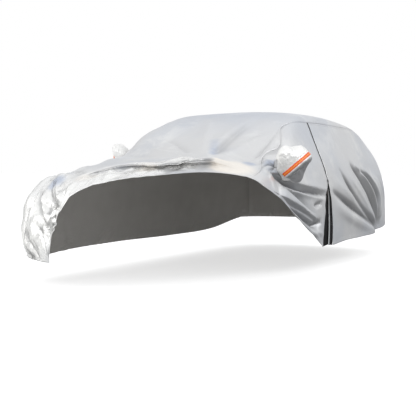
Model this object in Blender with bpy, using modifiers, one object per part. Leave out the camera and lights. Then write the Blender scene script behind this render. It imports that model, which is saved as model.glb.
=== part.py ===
"""Fitted cover of silver cloth for a compact hatchback, its front left corner pulled back over the bonnet.

The cloth is first laid on a smooth body shape, the space that the cover is worn on, and then moved off it
by its folds. While it is worked out, y = 0 is the line of the front wheels, z = 0 is the ground and +X is
the left side. At the end everything moves so that the origin is the point under the roof cloth that holds
the cover up.
"""

import bpy
import numpy as np
from mathutils import Matrix

# --------------------------------------------------------------------------------------------------
# Driving dimensions, in metres
# --------------------------------------------------------------------------------------------------
CLOTH = 0.0025  # thickness of the cover cloth
TAPE = 0.0015  # thickness of the zip's tape and of the reflective tape
GAP = 0.0010  # between two pieces along a seam
CLEAR = 0.0003  # between a tape and the cloth under it
ROOF_POINT = np.array([0.0, 1.60, 1.4445])  # under the roof cloth; this becomes the origin
BODY_MIDDLE = np.array([0.0, 1.30, 0.50])  # a point well inside the cover
HALF_WIDTH = 0.925  # widest half width of the body shape
CORNER_RADIUS = 0.020  # how softly the body's faces run into each other
DOWN = 12  # cells of a side panel from seam to hem
ZIP_TOP, ZIP_OPEN_BELOW, ZIP_BOTTOM = 1.327, 0.775, 0.212  # heights; the zip is closed above the middle one
ZIP_CLOSED_CELLS = 6  # of the DOWN cells, those beside the closed run
TAPE_WIDTH, FACING_WIDTH = 0.016, 0.045
TAPE_SHARE = 0.35  # the most of the opening's width that a tape takes
FACING_SHARE, FACING_START, FACING_LEAST = 0.2, 0.020, 0.002  # of the width past the second one; least width
GUARD_DEPTH, GUARD_DEPTH_SHARE, GUARD_TUCK_SHARE = 0.022, 0.10, 0.05  # how far in, and behind, the guard ends
TAPE_TURN = np.array([-0.5, 0.85, 0.0])  # the way a tape turns in from the front edge, mirrored at the rear
FACING_TURN = np.array([-0.45, -0.89, 0.0])
OPEN_START = 0.02  # of the first cell: the open run starts this far below the closed one
SLIDER_SIZE = (0.006, 0.014, 0.026)  # thick, wide, tall

# --------------------------------------------------------------------------------------------------
# The body shape: four lines and how they fall off sideways
# --------------------------------------------------------------------------------------------------
# columns: y, height of the centre line
TOP_LINE = np.array([
    (-1.20, 0.500), (-0.90, 0.585), (-0.845, 0.620), (-0.80, 0.700), (-0.70, 0.785), (-0.40, 0.885),
    (0.00, 0.965), (0.25, 1.015), (0.42, 1.055), (0.75, 1.205), (1.05, 1.345), (1.30, 1.415),
    (1.60, 1.445), (2.00, 1.445), (2.50, 1.415), (3.00, 1.350), (3.60, 1.260),
])
# columns: height, half width
SIDE_LINE = np.array([
    (0.00, HALF_WIDTH), (0.50, HALF_WIDTH), (0.66, 0.915), (0.80, 0.885), (0.95, 0.835), (1.10, 0.765),
    (1.25, 0.690), (1.36, 0.630), (1.50, 0.550),
])
# columns: height, y of the tail
REAR_LINE = np.array([
    (0.00, 3.49), (0.60, 3.49), (0.80, 3.45), (0.95, 3.38), (1.10, 3.27), (1.20, 3.18), (1.33, 3.04),
    (1.50, 2.88),
])
# columns: height, y of the nose
NOSE_LINE = np.array([(0.00, -0.85), (0.60, -0.85), (0.72, -0.80), (0.80, -0.68), (1.00, -0.30)])
NOSE_CORNER_LENGTH, NOSE_CORNER_POWER = 0.75, 2.8
TAIL_CORNER_LENGTH, TAIL_CORNER_POWER = 0.62, 3.0
NOSE_Y, TAIL_Y = -0.85, 3.49
NOSE_BOW, TAIL_BOW = 0.14, 0.16  # how far nose and tail fall back towards their corners, per square metre
ROOF_BOW, ROOF_BOW_POWER = 0.135, 2.2
SCREEN_BOW = 0.30  # how far the screen sweeps back towards its sides

# --------------------------------------------------------------------------------------------------
# The cut of the cover: stations of the top panel, from the front hem to the rear hem
# --------------------------------------------------------------------------------------------------
# columns: seam x, y and z, centre y and z, and y and z of the inner point that the station is seen from
STATIONS = np.array([
    (0.72, -0.69, 0.195, -0.86, 0.20, 0.20, 0.20),  # 0 front hem
    (0.73, -0.68, 0.45, -0.86, 0.45, 0.20, 0.44),  # 1 bumper
    (0.72, -0.64, 0.66, -0.80, 0.70, 0.20, 0.52),  # 2 nose
    (0.74, -0.50, 0.80, -0.62, 0.83, 0.10, 0.50),  # 3 bonnet lip
    (0.80, -0.20, 0.86, -0.30, 0.90, 0.00, 0.50),  # 4 bonnet
    (0.84, 0.05, 0.86, 0.00, 0.965, 0.10, 0.50),  # 5
    (0.81, 0.28, 0.92, 0.25, 1.015, 0.30, 0.50),  # 6
    (0.76, 0.45, 1.02, 0.42, 1.055, 0.48, 0.52),  # 7 foot of the screen
    (0.72, 0.62, 1.08, 0.60, 1.14, 0.66, 0.60),  # 8 over the mirror
    (0.72, 0.78, 1.095, 0.80, 1.23, 0.83, 0.70),  # 9
    (0.67, 0.93, 1.18, 1.00, 1.33, 1.00, 0.80),  # 10
    (0.60, 1.09, 1.277, 1.15, 1.38, 1.15, 0.90),  # 11 front of the roof
    (0.63, 1.33, 1.31, 1.38, 1.43, 1.37, 0.90),  # 12
    (0.645, 1.557, 1.327, 1.60, 1.445, 1.60, 0.90),  # 13 top of the zip
    (0.65, 1.90, 1.333, 1.90, 1.445, 1.88, 0.90),  # 14
    (0.655, 2.30, 1.322, 2.30, 1.43, 2.15, 0.90),  # 15
    (0.65, 2.65, 1.308, 2.70, 1.40, 2.35, 0.90),  # 16
    (0.645, 2.88, 1.29, 3.00, 1.35, 2.40, 0.86),  # 17 tail lip
    (0.67, 3.03, 1.18, 3.22, 1.20, 2.40, 0.80),  # 18
    (0.72, 3.15, 1.03, 3.36, 1.02, 2.40, 0.72),  # 19
    (0.78, 3.22, 0.85, 3.45, 0.82, 2.40, 0.62),  # 20
    (0.80, 3.27, 0.60, 3.49, 0.58, 2.40, 0.50),  # 21
    (0.80, 3.28, 0.33, 3.49, 0.33, 2.40, 0.33),  # 22 rear hem
])
# lines of the top panel from the right seam to the left one; one of them meets the front edge at the hem
ACROSS = np.array([
    -1, -0.86, -0.74, -0.62, -0.5, -0.38, -0.24, -0.12, 0.03, 0.2, 0.36, 0.5, 0.58, 0.65, 0.73, 0.86, 1,
])
SCREEN_FOOT = 7.5  # the front edge's slant is used up here
ZIP_STATION = 13.0
TAIL_CORNER_STATION = 17.0
# columns: place across (-1 the right seam, 1 the left seam), station where the cloth starts
FRONT_EDGE = np.array([
    (-1.00, 0.00), (-0.75, 0.00), (-0.62, 0.00), (-0.60, 0.45), (-0.53, 1.10), (-0.42, 1.85),
    (-0.33, 2.15), (-0.23, 2.45), (-0.11, 2.70), (0.03, 2.92), (0.21, 3.10), (0.37, 3.32), (0.53, 3.75),
    (0.70, 4.18), (0.80, 4.38), (1.00, 4.75),
])
# The bonnet fold: cloth runs back under itself and forward again.
# columns: place across, stations from the edge to the fold's nose, overlap and distance between rows in
# metres, height in metres, 0 to 1 for how much the rows follow the fold
BONNET_FOLD = np.array([
    (-1.00, 1.60, 0.00, 0.010, 0.000, 0.0), (-0.62, 1.60, 0.00, 0.010, 0.010, 0.0),
    (-0.38, 1.45, 0.00, 0.018, 0.024, 0.5), (-0.24, 1.30, 0.006, 0.014, 0.032, 1.0),
    (-0.12, 1.20, 0.018, 0.010, 0.036, 1.0), (0.03, 1.05, 0.03, 0.005, 0.038, 1.0),
    (0.20, 0.85, 0.05, 0.000, 0.044, 1.0), (0.36, 0.80, 0.06, 0.000, 0.052, 1.0),
    (0.50, 0.80, 0.06, 0.003, 0.062, 1.0), (0.58, 0.90, 0.04, 0.007, 0.066, 1.0),
    (0.65, 0.75, 0.02, 0.010, 0.060, 1.0), (0.73, 0.60, 0.01, 0.012, 0.050, 1.0),
    (0.86, 0.35, 0.00, 0.014, 0.026, 1.0), (1.00, 0.20, 0.00, 0.018, 0.000, 1.0),
])
STATION_LENGTH = 0.30  # metres of bonnet in one station
# columns: overlaps behind the fold's nose, heights above the bonnet
FOLD_SECTION = np.array([
    (0.10, 0.05), (1.00, 0.12), (1.20, 0.25), (1.00, 0.38), (0.20, 0.58), (-0.05, 0.75), (0.10, 0.93),
    (0.60, 1.00), (1.90, 0.78), (3.40, 0.36),
])
# columns: share of the way from the edge to the fold, share of the fold's height
BEFORE_FOLD = np.array([(0.00, 0.03), (0.30, 0.04), (0.65, 0.05)])
# columns: share of the way from the fold to the foot of the screen, share of the fold's height
AFTER_FOLD = np.array([(0.25, 0.12), (0.50, 0.03), (0.75, 0.00)])
CORNER_SHARE = 0.48  # of the bonnet rows without a fold: where the right side has its upper front corner
# stations of the rows behind the screen's foot, up to the tail lip
ROWS_BEHIND = [7.85, 8.2, 8.55, 8.9, 9.25, 9.6, 10.1, 10.7, 11.3, 12.1]
ROWS_ROOF = [13.35, 13.7, 14.0, 14.3, 14.6, 14.9, 15.2, 15.5, 15.8, 16.1, 16.4, 16.7]

# --------------------------------------------------------------------------------------------------
# Free edges of the side panels, as seen from the side. Columns: y, z
# --------------------------------------------------------------------------------------------------
DIAGONAL_EDGE = np.array([
    (0.075, 0.778), (0.21, 0.728), (0.40, 0.652), (0.55, 0.560), (0.76, 0.444), (1.03, 0.319),
    (1.248, 0.215),
])
# columns: z, y of the front panel's edge, y of the rear panel's edge
ZIP_EDGES = np.array([
    (0.212, 1.248, 1.494), (0.396, 1.275, 1.500), (0.570, 1.318, 1.488), (0.690, 1.385, 1.482),
    (0.775, 1.458, 1.482), (0.900, 1.462, 1.486), (1.020, 1.464, 1.488), (1.150, 1.487, 1.511),
    (1.327, 1.545, 1.569),
])
LEFT_REAR_HEM = np.array([
    (1.494, 0.208), (1.79, 0.226), (2.28, 0.231), (2.80, 0.247), (3.05, 0.285), (3.28, 0.33),
])
# columns: share along the seam, share along the hem; the lines run together at the drawn-in spot of the hem
REAR_FAN = np.array([(0.0, 0.0), (0.12, 0.30), (0.28, 0.53), (0.50, 0.66), (0.75, 0.735), (1.0, 1.0)])
RIGHT_HEM = np.array([
    (-0.69, 0.195), (-0.45, 0.17), (-0.10, 0.20), (0.70, 0.22), (1.70, 0.215), (2.60, 0.235),
    (3.28, 0.33),
])

# --------------------------------------------------------------------------------------------------
# Folds
# --------------------------------------------------------------------------------------------------
# columns: y and z of the start, middle and end as seen from the left, height (troughs below zero), half width
LEFT_FOLDS = np.array([
    (0.30, 0.875, 0.60, 0.735, 1.32, 0.685, -0.034, 0.045),
    (0.28, 0.840, 0.60, 0.685, 1.25, 0.615, 0.032, 0.050),
    (0.24, 0.810, 0.50, 0.630, 1.00, 0.540, 0.022, 0.040),
    (0.59, 0.590, 0.80, 0.500, 1.02, 0.440, -0.032, 0.036),
    (1.13, 0.625, 1.22, 0.600, 1.32, 0.600, -0.018, 0.026),
    (1.02, 0.420, 1.10, 0.395, 1.24, 0.400, -0.022, 0.045),
    (0.62, 0.530, 0.90, 0.395, 1.20, 0.270, 0.018, 0.034),
    (1.54, 0.735, 1.90, 0.560, 2.78, 0.300, -0.032, 0.075),
    (1.52, 0.600, 2.00, 0.430, 2.74, 0.270, 0.026, 0.080),
    (1.80, 0.800, 2.08, 0.590, 2.70, 0.350, 0.026, 0.070),
    (2.12, 0.930, 2.36, 0.660, 2.76, 0.340, -0.034, 0.075),
    (2.30, 0.920, 2.56, 0.640, 2.79, 0.360, 0.030, 0.070),
    (2.48, 0.880, 2.74, 0.640, 2.83, 0.400, -0.030, 0.065),
    (2.68, 0.860, 2.92, 0.620, 2.88, 0.380, 0.026, 0.065),
])
# columns: x and y of the start, middle and end as seen from above, height, half width
TOP_FOLDS = np.array([
    (0.66, 0.37, 0.63, 0.72, 0.59, 1.09, 0.016, 0.045),
    (0.33, 0.38, 0.30, 0.72, 0.32, 1.12, -0.012, 0.050),
    (0.38, 0.36, 0.44, 0.66, 0.52, 0.94, 0.012, 0.050),
    (0.22, 0.40, 0.08, 0.68, -0.04, 0.96, 0.011, 0.060),
    (0.14, 0.34, -0.14, 0.56, -0.40, 0.72, -0.010, 0.060),
    (-0.20, 0.20, -0.48, 0.36, -0.72, 0.52, 0.016, 0.070),
    (-0.30, -0.30, -0.56, -0.20, -0.78, -0.05, 0.018, 0.060),
    (-0.40, -0.50, -0.58, -0.44, -0.76, -0.36, -0.014, 0.050),
])
# columns: x, y, z of the middle, how far the cloth stands out, radius
SWELLS = np.array([
    (-0.86, -0.60, 0.37, 0.085, 0.22),
    (-0.74, -0.75, 0.15, -0.060, 0.12),
    (-0.86, -0.30, 0.62, 0.030, 0.20),
    (-0.72, -0.50, 0.79, 0.055, 0.20),
    (-0.76, -0.05, 0.92, 0.045, 0.24),
    (-0.70, 0.36, 1.00, 0.040, 0.24),
    (-0.66, 0.86, 1.17, 0.070, 0.28),
    (-0.58, 1.25, 1.36, 0.025, 0.26),
    (0.66, 3.02, 1.20, -0.035, 0.20),
    (0.93, 2.86, 0.24, -0.040, 0.16),
])

# --------------------------------------------------------------------------------------------------
# Mirror pockets
# --------------------------------------------------------------------------------------------------
# columns: side, y and z of the hole's middle, middle of the mouth, half length and half depth of the mouth
POCKETS = {
    "left": (1.0, 0.590, 0.885, (0.945, 0.578, 0.948), 0.168, 0.105),
    "right": (-1.0, 0.800, 0.940, (0.925, 0.850, 1.020), 0.135, 0.090),
}
POCKET_HALF_LENGTH, POCKET_HALF_HEIGHT = 0.125, 0.080
RIM_SHARE = 0.978  # of the hole's size; the rest clears the cloth round the hole
POCKET_CELLS = 6  # cells of the side panel along and up its hole
# The mouth is the oval along which the reflective tape runs; the bag's rounded end lies beyond it.
MOUTH_WAY = np.array([0.60, 0.30, -0.74])  # out of the bag
MOUTH_LONG = np.array([0.29, 0.81, 0.505])  # along the oval
MOUTH_DEEP = np.array([0.75, -0.52, 0.40])  # across the oval, forwards and outwards
BAG_STEPS = (0.0, 0.10, 0.26, 0.48, 0.74, 1.0)  # shares of the way from the hole to the mouth
BAG_CROWN = 0.075  # how far the bag's top swells up between them
BAG_FLOOR = np.array([0.045, 0.02, 0.01])  # from the hole's lower edge to the mouth's
STRIPE_WIDTH = 0.030
STRIPE_LIFT = 0.001  # off the bag
# columns: share of the mouth's size, distance beyond it
BAG_END = ((1.0, STRIPE_WIDTH), (0.92, 0.052), (0.68, 0.078), (0.34, 0.092))
BAG_TIP = 0.096

SILVER = {"color": (0.62, 0.63, 0.65), "rough": 0.42, "metal": 0.55}
BRIGHT = {"color": (0.80, 0.80, 0.80), "rough": 0.30, "metal": 0.70}
ORANGE = {"color": (0.95, 0.26, 0.03), "rough": 0.45, "metal": 0.0}
BLACK = {"color": (0.018, 0.018, 0.020), "rough": 0.70, "metal": 0.0}
GREY = {"color": (0.46, 0.47, 0.48), "rough": 0.60, "metal": 0.2}


# --------------------------------------------------------------------------------------------------
# Curves and the body shape
# --------------------------------------------------------------------------------------------------
def smooth_line(table, at):
    """A smooth curve through a table's first column and the rest: cubics that share their slopes."""
    place, value = table[:, 0], table[:, 1:]
    slope = np.gradient(value, place, axis=0)
    at = np.asarray(at, float)
    i = np.clip(np.searchsorted(place, at) - 1, 0, len(place) - 2)
    length = (place[i + 1] - place[i])[..., None]
    s = np.clip((at - place[i])[..., None] / length, 0, 1)
    start = (1 + 2 * s) * (1 - s) ** 2 * value[i] + s * (1 - s) ** 2 * length * slope[i]
    end = s * s * (3 - 2 * s) * value[i + 1] + s * s * (s - 1) * length * slope[i + 1]
    return start + end


def line_value(table, at):
    """The one value of a two-column table."""
    return smooth_line(table, at)[..., 0]


def corner_width(y):
    """Share of the full width at y: it falls to nothing at the nose and the tail along rounded corners."""
    ahead = np.clip((y - NOSE_Y) / NOSE_CORNER_LENGTH, 0, 1)
    behind = np.clip((TAIL_Y - y) / TAIL_CORNER_LENGTH, 0, 1)
    nose = (1 - (1 - ahead) ** NOSE_CORNER_POWER) ** (1 / NOSE_CORNER_POWER)
    tail = (1 - (1 - behind) ** TAIL_CORNER_POWER) ** (1 / TAIL_CORNER_POWER)
    return np.maximum(nose * tail, 0.02)


def body(p):
    """Below zero inside the body: the largest of the nose, tail, side and top distances, corners softened."""
    x, y, z = np.abs(p[..., 0]), p[..., 1], p[..., 2]
    swept_y = y - SCREEN_BOW * x**2 * np.clip(2.0 - y, 0, 1)
    faces = np.stack([
        line_value(NOSE_LINE, z) + NOSE_BOW * x**2 - y,
        y - line_value(REAR_LINE, z) + TAIL_BOW * x**2,
        x - line_value(SIDE_LINE, z) * corner_width(y),
        z - line_value(TOP_LINE, swept_y) + ROOF_BOW * x**ROOF_BOW_POWER,
    ])
    most = faces.max(0)
    return most + CORNER_RADIUS * np.log(np.exp((faces - most) / CORNER_RADIUS).sum(0))


def leave_body(inner, target):
    """Where the rays from inner points through their targets leave the body shape, found by halving."""
    way = target - inner
    way = way / np.linalg.norm(way, axis=-1, keepdims=True)
    near, far = np.zeros(way.shape[:-1]), np.full(way.shape[:-1], 2.0)
    for _ in range(36):
        middle = (near + far) / 2
        outside = body(inner + way * middle[..., None]) > 0
        far = np.where(outside, middle, far)
        near = np.where(outside, near, middle)
    return inner + way * near[..., None]


def outward(p):
    """Unit normals of the body shape, from its slope by small steps."""
    step = 0.004
    axes = np.eye(3) * step
    slope = np.stack([body(p + axis) - body(p - axis) for axis in axes], -1)
    return slope / np.linalg.norm(slope, axis=-1, keepdims=True)


# --------------------------------------------------------------------------------------------------
# Folds
# --------------------------------------------------------------------------------------------------
def fold_height(flat, folds):
    """Sum of soft ridges and troughs: each falls off as a bell across its bent line and fades at its ends."""
    total = np.zeros(flat.shape[:-1])
    for x0, y0, x1, y1, x2, y2, height, half_width in folds:
        along = np.linspace(0, 1, 15)[:, None]
        start, middle, end = np.array([x0, y0]), np.array([x1, y1]), np.array([x2, y2])
        bend = 2 * middle - (start + end) / 2
        line = (1 - along) ** 2 * start + 2 * along * (1 - along) * bend + along**2 * end
        away = np.linalg.norm(flat[..., None, :] - line, axis=-1)
        nearest = away.min(-1)
        fade = np.sin(np.pi * np.clip(away.argmin(-1) / 14 * 0.9 + 0.05, 0, 1)) ** 0.6
        total = total + height * fade * np.exp(-((nearest / half_width) ** 2))
    return total


def swell_height(p):
    """Sum of round swells, each a bell around its middle."""
    total = np.zeros(p.shape[:-1])
    for x, y, z, height, radius in SWELLS:
        away = np.linalg.norm(p - np.array([x, y, z]), axis=-1)
        total = total + height * np.exp(-((away / radius) ** 2))
    return total


def hang(p):
    """The cloth's place over a point of the body shape: moved out by its swells and folds."""
    left = np.clip((p[..., 0] - 0.55) / 0.2, 0, 1) * np.clip((1.05 - p[..., 2]) / 0.12, 0, 1)
    top = np.clip((p[..., 2] - 0.70) / 0.10, 0, 1) * np.clip((0.86 - np.abs(p[..., 0])) / 0.08, 0, 1)
    height = swell_height(p)
    height = height + left * fold_height(p[..., 1:], LEFT_FOLDS)
    height = height + top * fold_height(p[..., :2], TOP_FOLDS)
    return p + outward(p) * height[..., None]


# --------------------------------------------------------------------------------------------------
# Panels as grids of points
# --------------------------------------------------------------------------------------------------
def top_point(station, across):
    """The body's point at a station and a place across, -1 at the right seam and 1 at the left seam."""
    places = np.arange(len(STATIONS))[:, None]
    seam_x, seam_y, seam_z, mid_y, mid_z, inner_y, inner_z = np.moveaxis(
        smooth_line(np.hstack([places, STATIONS]), station), -1, 0
    )
    side = np.abs(across)
    x = seam_x * across
    target = np.stack([x, mid_y + (seam_y - mid_y) * side**2, mid_z + (seam_z - mid_z) * side**2.2], -1)
    inner = np.stack([0.4 * x, inner_y, inner_z], -1)
    return leave_body(inner, target)


def top_rows(across):
    """Stations and heights of the top panel's rows, for each place across.

    Ahead of the screen's foot the rows follow the slanted front edge and the bonnet fold, and behind it they
    are straight.
    """
    start = np.maximum(line_value(FRONT_EDGE, across), 0)
    to_nose, overlap, spacing, height, folded = np.moveaxis(smooth_line(BONNET_FOLD, across), -1, 0)
    nose = start + to_nose
    behind_nose = FOLD_SECTION[:, :1] * overlap + np.arange(len(FOLD_SECTION))[:, None] * spacing
    before = start + to_nose * BEFORE_FOLD[:, :1]
    section = nose + behind_nose / STATION_LENGTH
    after = section[-1] + (SCREEN_FOOT - section[-1]) * AFTER_FOLD[:, :1]
    folded_rows = np.vstack([before, section, after])
    lifted = np.vstack([BEFORE_FOLD[:, 1:], FOLD_SECTION[:, 1:], AFTER_FOLD[:, 1:]]) * height
    count = len(folded_rows)
    share = np.interp(np.arange(count), (0, DOWN, count), (0, CORNER_SHARE, 1))[:, None]
    plain_rows = start + (SCREEN_FOOT - start) * share
    rows = plain_rows + (folded_rows - plain_rows) * folded
    behind = [SCREEN_FOOT, *ROWS_BEHIND, ZIP_STATION - 0.05, ZIP_STATION + 0.05, *ROWS_ROOF]
    behind += list(np.linspace(TAIL_CORNER_STATION, len(STATIONS) - 1, DOWN + 1))
    behind = np.array(behind)[:, None] + 0 * across
    return np.vstack([rows, behind]), np.vstack([lifted * folded, 0 * behind]), count


def side_points(flat_points, side):
    """The body's points for points (x, y, z) near one side, seen from inside at the same height."""
    inner = flat_points.copy()
    inner[..., 0] = 0.3 * side
    inner[..., 1] = np.clip(flat_points[..., 1], 0.35, 2.4)
    return leave_body(inner, flat_points)


def side_view(y, z, side):
    """The body's points that are seen at y and z from the side."""
    return side_points(np.stack([side * HALF_WIDTH + 0 * y, y, z], -1), side)


def edge_points(edge, places, side):
    """Points of a free edge given by its side view, at shares 0 to 1 of its length."""
    y, z = np.moveaxis(smooth_line(np.column_stack([shares(edge), edge]), places), -1, 0)
    return side_view(y, z, side)


def shares(points):
    """How far along its own line each point is, from 0 to 1."""
    length = np.concatenate([[0], np.cumsum(np.linalg.norm(np.diff(points, axis=0), axis=1))])
    return length / length[-1]


def patch(top, bottom, front, rear):
    """A sheet between four edges that meet: the two straight blends added, less the one of the corners."""
    s, t = shares(top)[None, :, None], shares(rear)[:, None, None]
    ends = (1 - t) * ((1 - s) * top[0] + s * top[-1]) + t * ((1 - s) * bottom[0] + s * bottom[-1])
    return (1 - t) * top + t * bottom + (1 - s) * front[:, None] + s * rear[:, None] - ends


def side_sheet(top, bottom, front, rear, side, hole=None, pocket=None):
    """A side panel's grid on the body, with its four edges kept exactly."""
    grid = side_points(patch(top, bottom, front, rear), side)
    if hole:
        grid = round_hole(grid, *hole, pocket[1:3], side)
    grid[0], grid[-1], grid[:, 0], grid[:, -1] = top, bottom, front, rear
    return grid


def round_hole(grid, first_row, first_column, middle, side):
    """Bends a block of cells into an oval for the mirror pocket, and eases the cells around it."""
    half = POCKET_CELLS / 2
    rows, columns = np.indices(grid.shape[:2]).astype(float)
    across, down = (columns - first_column - half) / half, (rows - first_row - half) / half
    square, circle = np.maximum(np.abs(across), np.abs(down)), np.hypot(across, down)
    squeeze = np.where(circle > 0, square / np.maximum(circle, 1e-9), 1)
    oval = grid.copy()
    oval[..., 1] = middle[0] + across * squeeze * POCKET_HALF_LENGTH
    oval[..., 2] = middle[1] - down * squeeze * POCKET_HALF_HEIGHT
    shift = side_points(oval, side) - grid
    nearest_row = np.clip(rows, first_row, first_row + POCKET_CELLS).astype(int)
    nearest_column = np.clip(columns, first_column, first_column + POCKET_CELLS).astype(int)
    ease = np.clip(2.0 - square, 0, 1)
    ease = (ease * ease * (3 - 2 * ease))[..., None]
    return side_points(grid + shift[nearest_row, nearest_column] * ease, side)


def block_loop(first_row, first_column):
    """Indices round the hole's edge, starting at its rear lower corner."""
    steps = np.arange(POCKET_CELLS)
    low, high = np.zeros(POCKET_CELLS, int), np.full(POCKET_CELLS, POCKET_CELLS)
    rows = np.concatenate([high, POCKET_CELLS - steps, low, steps])
    columns = np.concatenate([POCKET_CELLS - steps, low, steps, high])
    return first_row + rows, first_column + columns


# --------------------------------------------------------------------------------------------------
# Objects
# --------------------------------------------------------------------------------------------------
def clear_scene():
    for obj in list(bpy.data.objects):
        bpy.data.objects.remove(obj, do_unlink=True)


def finish_material(name, color, rough, metal):
    material = bpy.data.materials.new(name)
    material.use_nodes = True
    shader = material.node_tree.nodes["Principled BSDF"]
    shader.inputs["Base Color"].default_value = (*color, 1)
    shader.inputs["Roughness"].default_value = rough
    shader.inputs["Metallic"].default_value = metal
    material.diffuse_color = (*color, 1)
    return material


def pull_in(grid, amount):
    """Draws a grid's four edges in along the cloth, which leaves the seam gaps."""
    grid = grid.copy()
    for edge, next_one in ((0, 1), (-1, -2)):
        for view in (grid, grid.swapaxes(0, 1)):
            step = view[next_one] - view[edge]
            view[edge] += step / np.linalg.norm(step, axis=-1, keepdims=True) * amount
    return grid


def grid_faces(rows, columns, hole=None):
    """Quads between neighbouring points, without those of the hole."""
    row, column = np.meshgrid(np.arange(rows - 1), np.arange(columns - 1), indexing="ij")
    keep = np.ones(row.shape, bool)
    if hole:
        keep[hole[0] : hole[0] + POCKET_CELLS, hole[1] : hole[1] + POCKET_CELLS] = False
    corner = (row * columns + column)[keep]
    return np.stack([corner, corner + columns, corner + columns + 1, corner + 1], -1)


def cloth(name, points, faces, thickness, finish, collection, inner, offset=1.0):
    """One sheet: a surface facing away from an inner point, with its thickness outside (1) or inside (-1)."""
    corners = np.array([points[list(face[:3])] for face in faces])
    normals = np.cross(corners[:, 1] - corners[:, 0], corners[:, 2] - corners[:, 0])
    if (normals * (corners.mean(1) - inner)).sum() < 0:
        faces = [face[::-1] for face in faces]
    used = np.unique(np.concatenate(faces))
    place = np.zeros(len(points), int)
    place[used] = np.arange(len(used))
    mesh = bpy.data.meshes.new(name)
    mesh.from_pydata((points[used] - ROOF_POINT).tolist(), [], [place[face].tolist() for face in faces])
    mesh.shade_smooth()
    mesh.materials.append(finish_material(name, **finish))
    obj = bpy.data.objects.new(name, mesh)
    collection.objects.link(obj)
    solid = obj.modifiers.new("thickness", "SOLIDIFY")
    solid.thickness = thickness
    solid.offset = offset
    return obj


def grid_cloth(name, grid, thickness, finish, collection, hole=None, inner=BODY_MIDDLE):
    """A sheet over a grid of points."""
    rows, columns = grid.shape[:2]
    faces = grid_faces(rows, columns, hole)
    return cloth(name, grid.reshape(-1, 3), faces, thickness, finish, collection, inner)


def pocket_rings(rim, side, middle, half_length, half_depth):
    """Rings of a mirror pocket: they leave its hole straight outwards, bend down into its mouth and close.

    Each line from the hole to the mouth is a cubic with those two directions. The last ring is one point. The
    pocket is worked out as a left one and then mirrored to its side.
    """
    mirror = np.array([side, 1, 1])
    spoke = (rim - rim.mean(0)) * mirror
    rim = rim.mean(0) * mirror + spoke * RIM_SHARE
    angle = np.arctan2(spoke[:, 2] / POCKET_HALF_HEIGHT, spoke[:, 1] / POCKET_HALF_LENGTH)[:, None]
    upper, lower = np.clip(np.sin(angle), 0, 1), np.clip(-np.sin(angle), 0, 1)
    mouth = middle + half_length * np.cos(angle) * MOUTH_LONG + half_depth * np.sin(angle) * MOUTH_DEEP
    mouth += lower * (rim + BAG_FLOOR - mouth)
    reach = np.linalg.norm(mouth - rim, axis=-1, keepdims=True)
    scale = half_length / POCKETS["left"][4]
    rings = []
    for t in BAG_STEPS:
        start = (1 + 2 * t) * (1 - t) ** 2 * rim + t * (1 - t) ** 2 * reach * np.array([1, 0, 0])
        end = t * t * (3 - 2 * t) * mouth - t * t * (1 - t) * reach * MOUTH_WAY
        crown = np.sin(np.pi * t) * BAG_CROWN * scale * upper * np.array([0, 0, 1])
        rings.append(start + end + crown)
    for size, beyond in BAG_END:
        rings.append(middle + (mouth - middle) * size + MOUTH_WAY * beyond * scale)
    rings.append(np.repeat((middle + MOUTH_WAY * BAG_TIP * scale)[None], len(rim), 0))
    return np.array(rings) * mirror


def add_pocket(name, rim, side, mouth, collection):
    """The pocket's bag, and the reflective tape on the half of its mouth that faces forwards and outwards."""
    rings = pocket_rings(rim, side, *mouth)
    count, around = rings.shape[:2]
    ring, spoke = np.meshgrid(np.arange(count - 2), np.arange(around), indexing="ij")
    after = (spoke + 1) % around
    near, far = ring * around, (ring + 1) * around
    sides = np.stack([near + spoke, near + after, far + after, far + spoke], -1).reshape(-1, 4)
    last = (count - 2) * around + np.arange(around)
    tip = np.full(around, (count - 1) * around)
    cap = np.stack([last, np.roll(last, -1), tip], -1)
    points = rings.reshape(-1, 3)
    cloth(name + "_mirror_pocket", points, [*sides, *cap], CLOTH, BRIGHT, collection, rings[0].mean(0), -1.0)

    tape = rings[len(BAG_STEPS) - 1 : len(BAG_STEPS) + 1]
    facing = ((tape[0] - tape[0].mean(0)) * MOUTH_DEEP * np.array([side, 1, 1])).sum(-1) > 0
    first = np.flatnonzero(facing & ~np.roll(facing, 1))[0]
    tape = np.roll(tape, -first, axis=1)[:, : facing.sum()]
    lift = np.cross(np.gradient(tape, axis=1), tape[1] - tape[0])
    lift /= np.linalg.norm(lift, axis=-1, keepdims=True)
    lift *= np.sign((lift * (tape - tape.mean((0, 1)))).sum())
    middle = rings.mean((0, 1))
    grid_cloth(name + "_mirror_stripe", tape + lift * STRIPE_LIFT, TAPE, ORANGE, collection, inner=middle)


def strip(edge, way, width):
    """A narrow grid beside an edge: it starts a gap away and runs its width, one value a row, along a way."""
    way = way / np.linalg.norm(way)
    near = edge + way * GAP
    return np.stack([near, near + way * width[:, None]], 1)


def between(first, last, columns):
    """A grid from one line of points to another, a gap short of both."""
    step = last - first
    gap = GAP / np.linalg.norm(step, axis=-1, keepdims=True)
    share = np.linspace(0, 1, columns + 1)[None, :, None]
    return first[:, None] + step[:, None] * (gap[:, None] + share * (1 - 2 * gap[:, None]))


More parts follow.
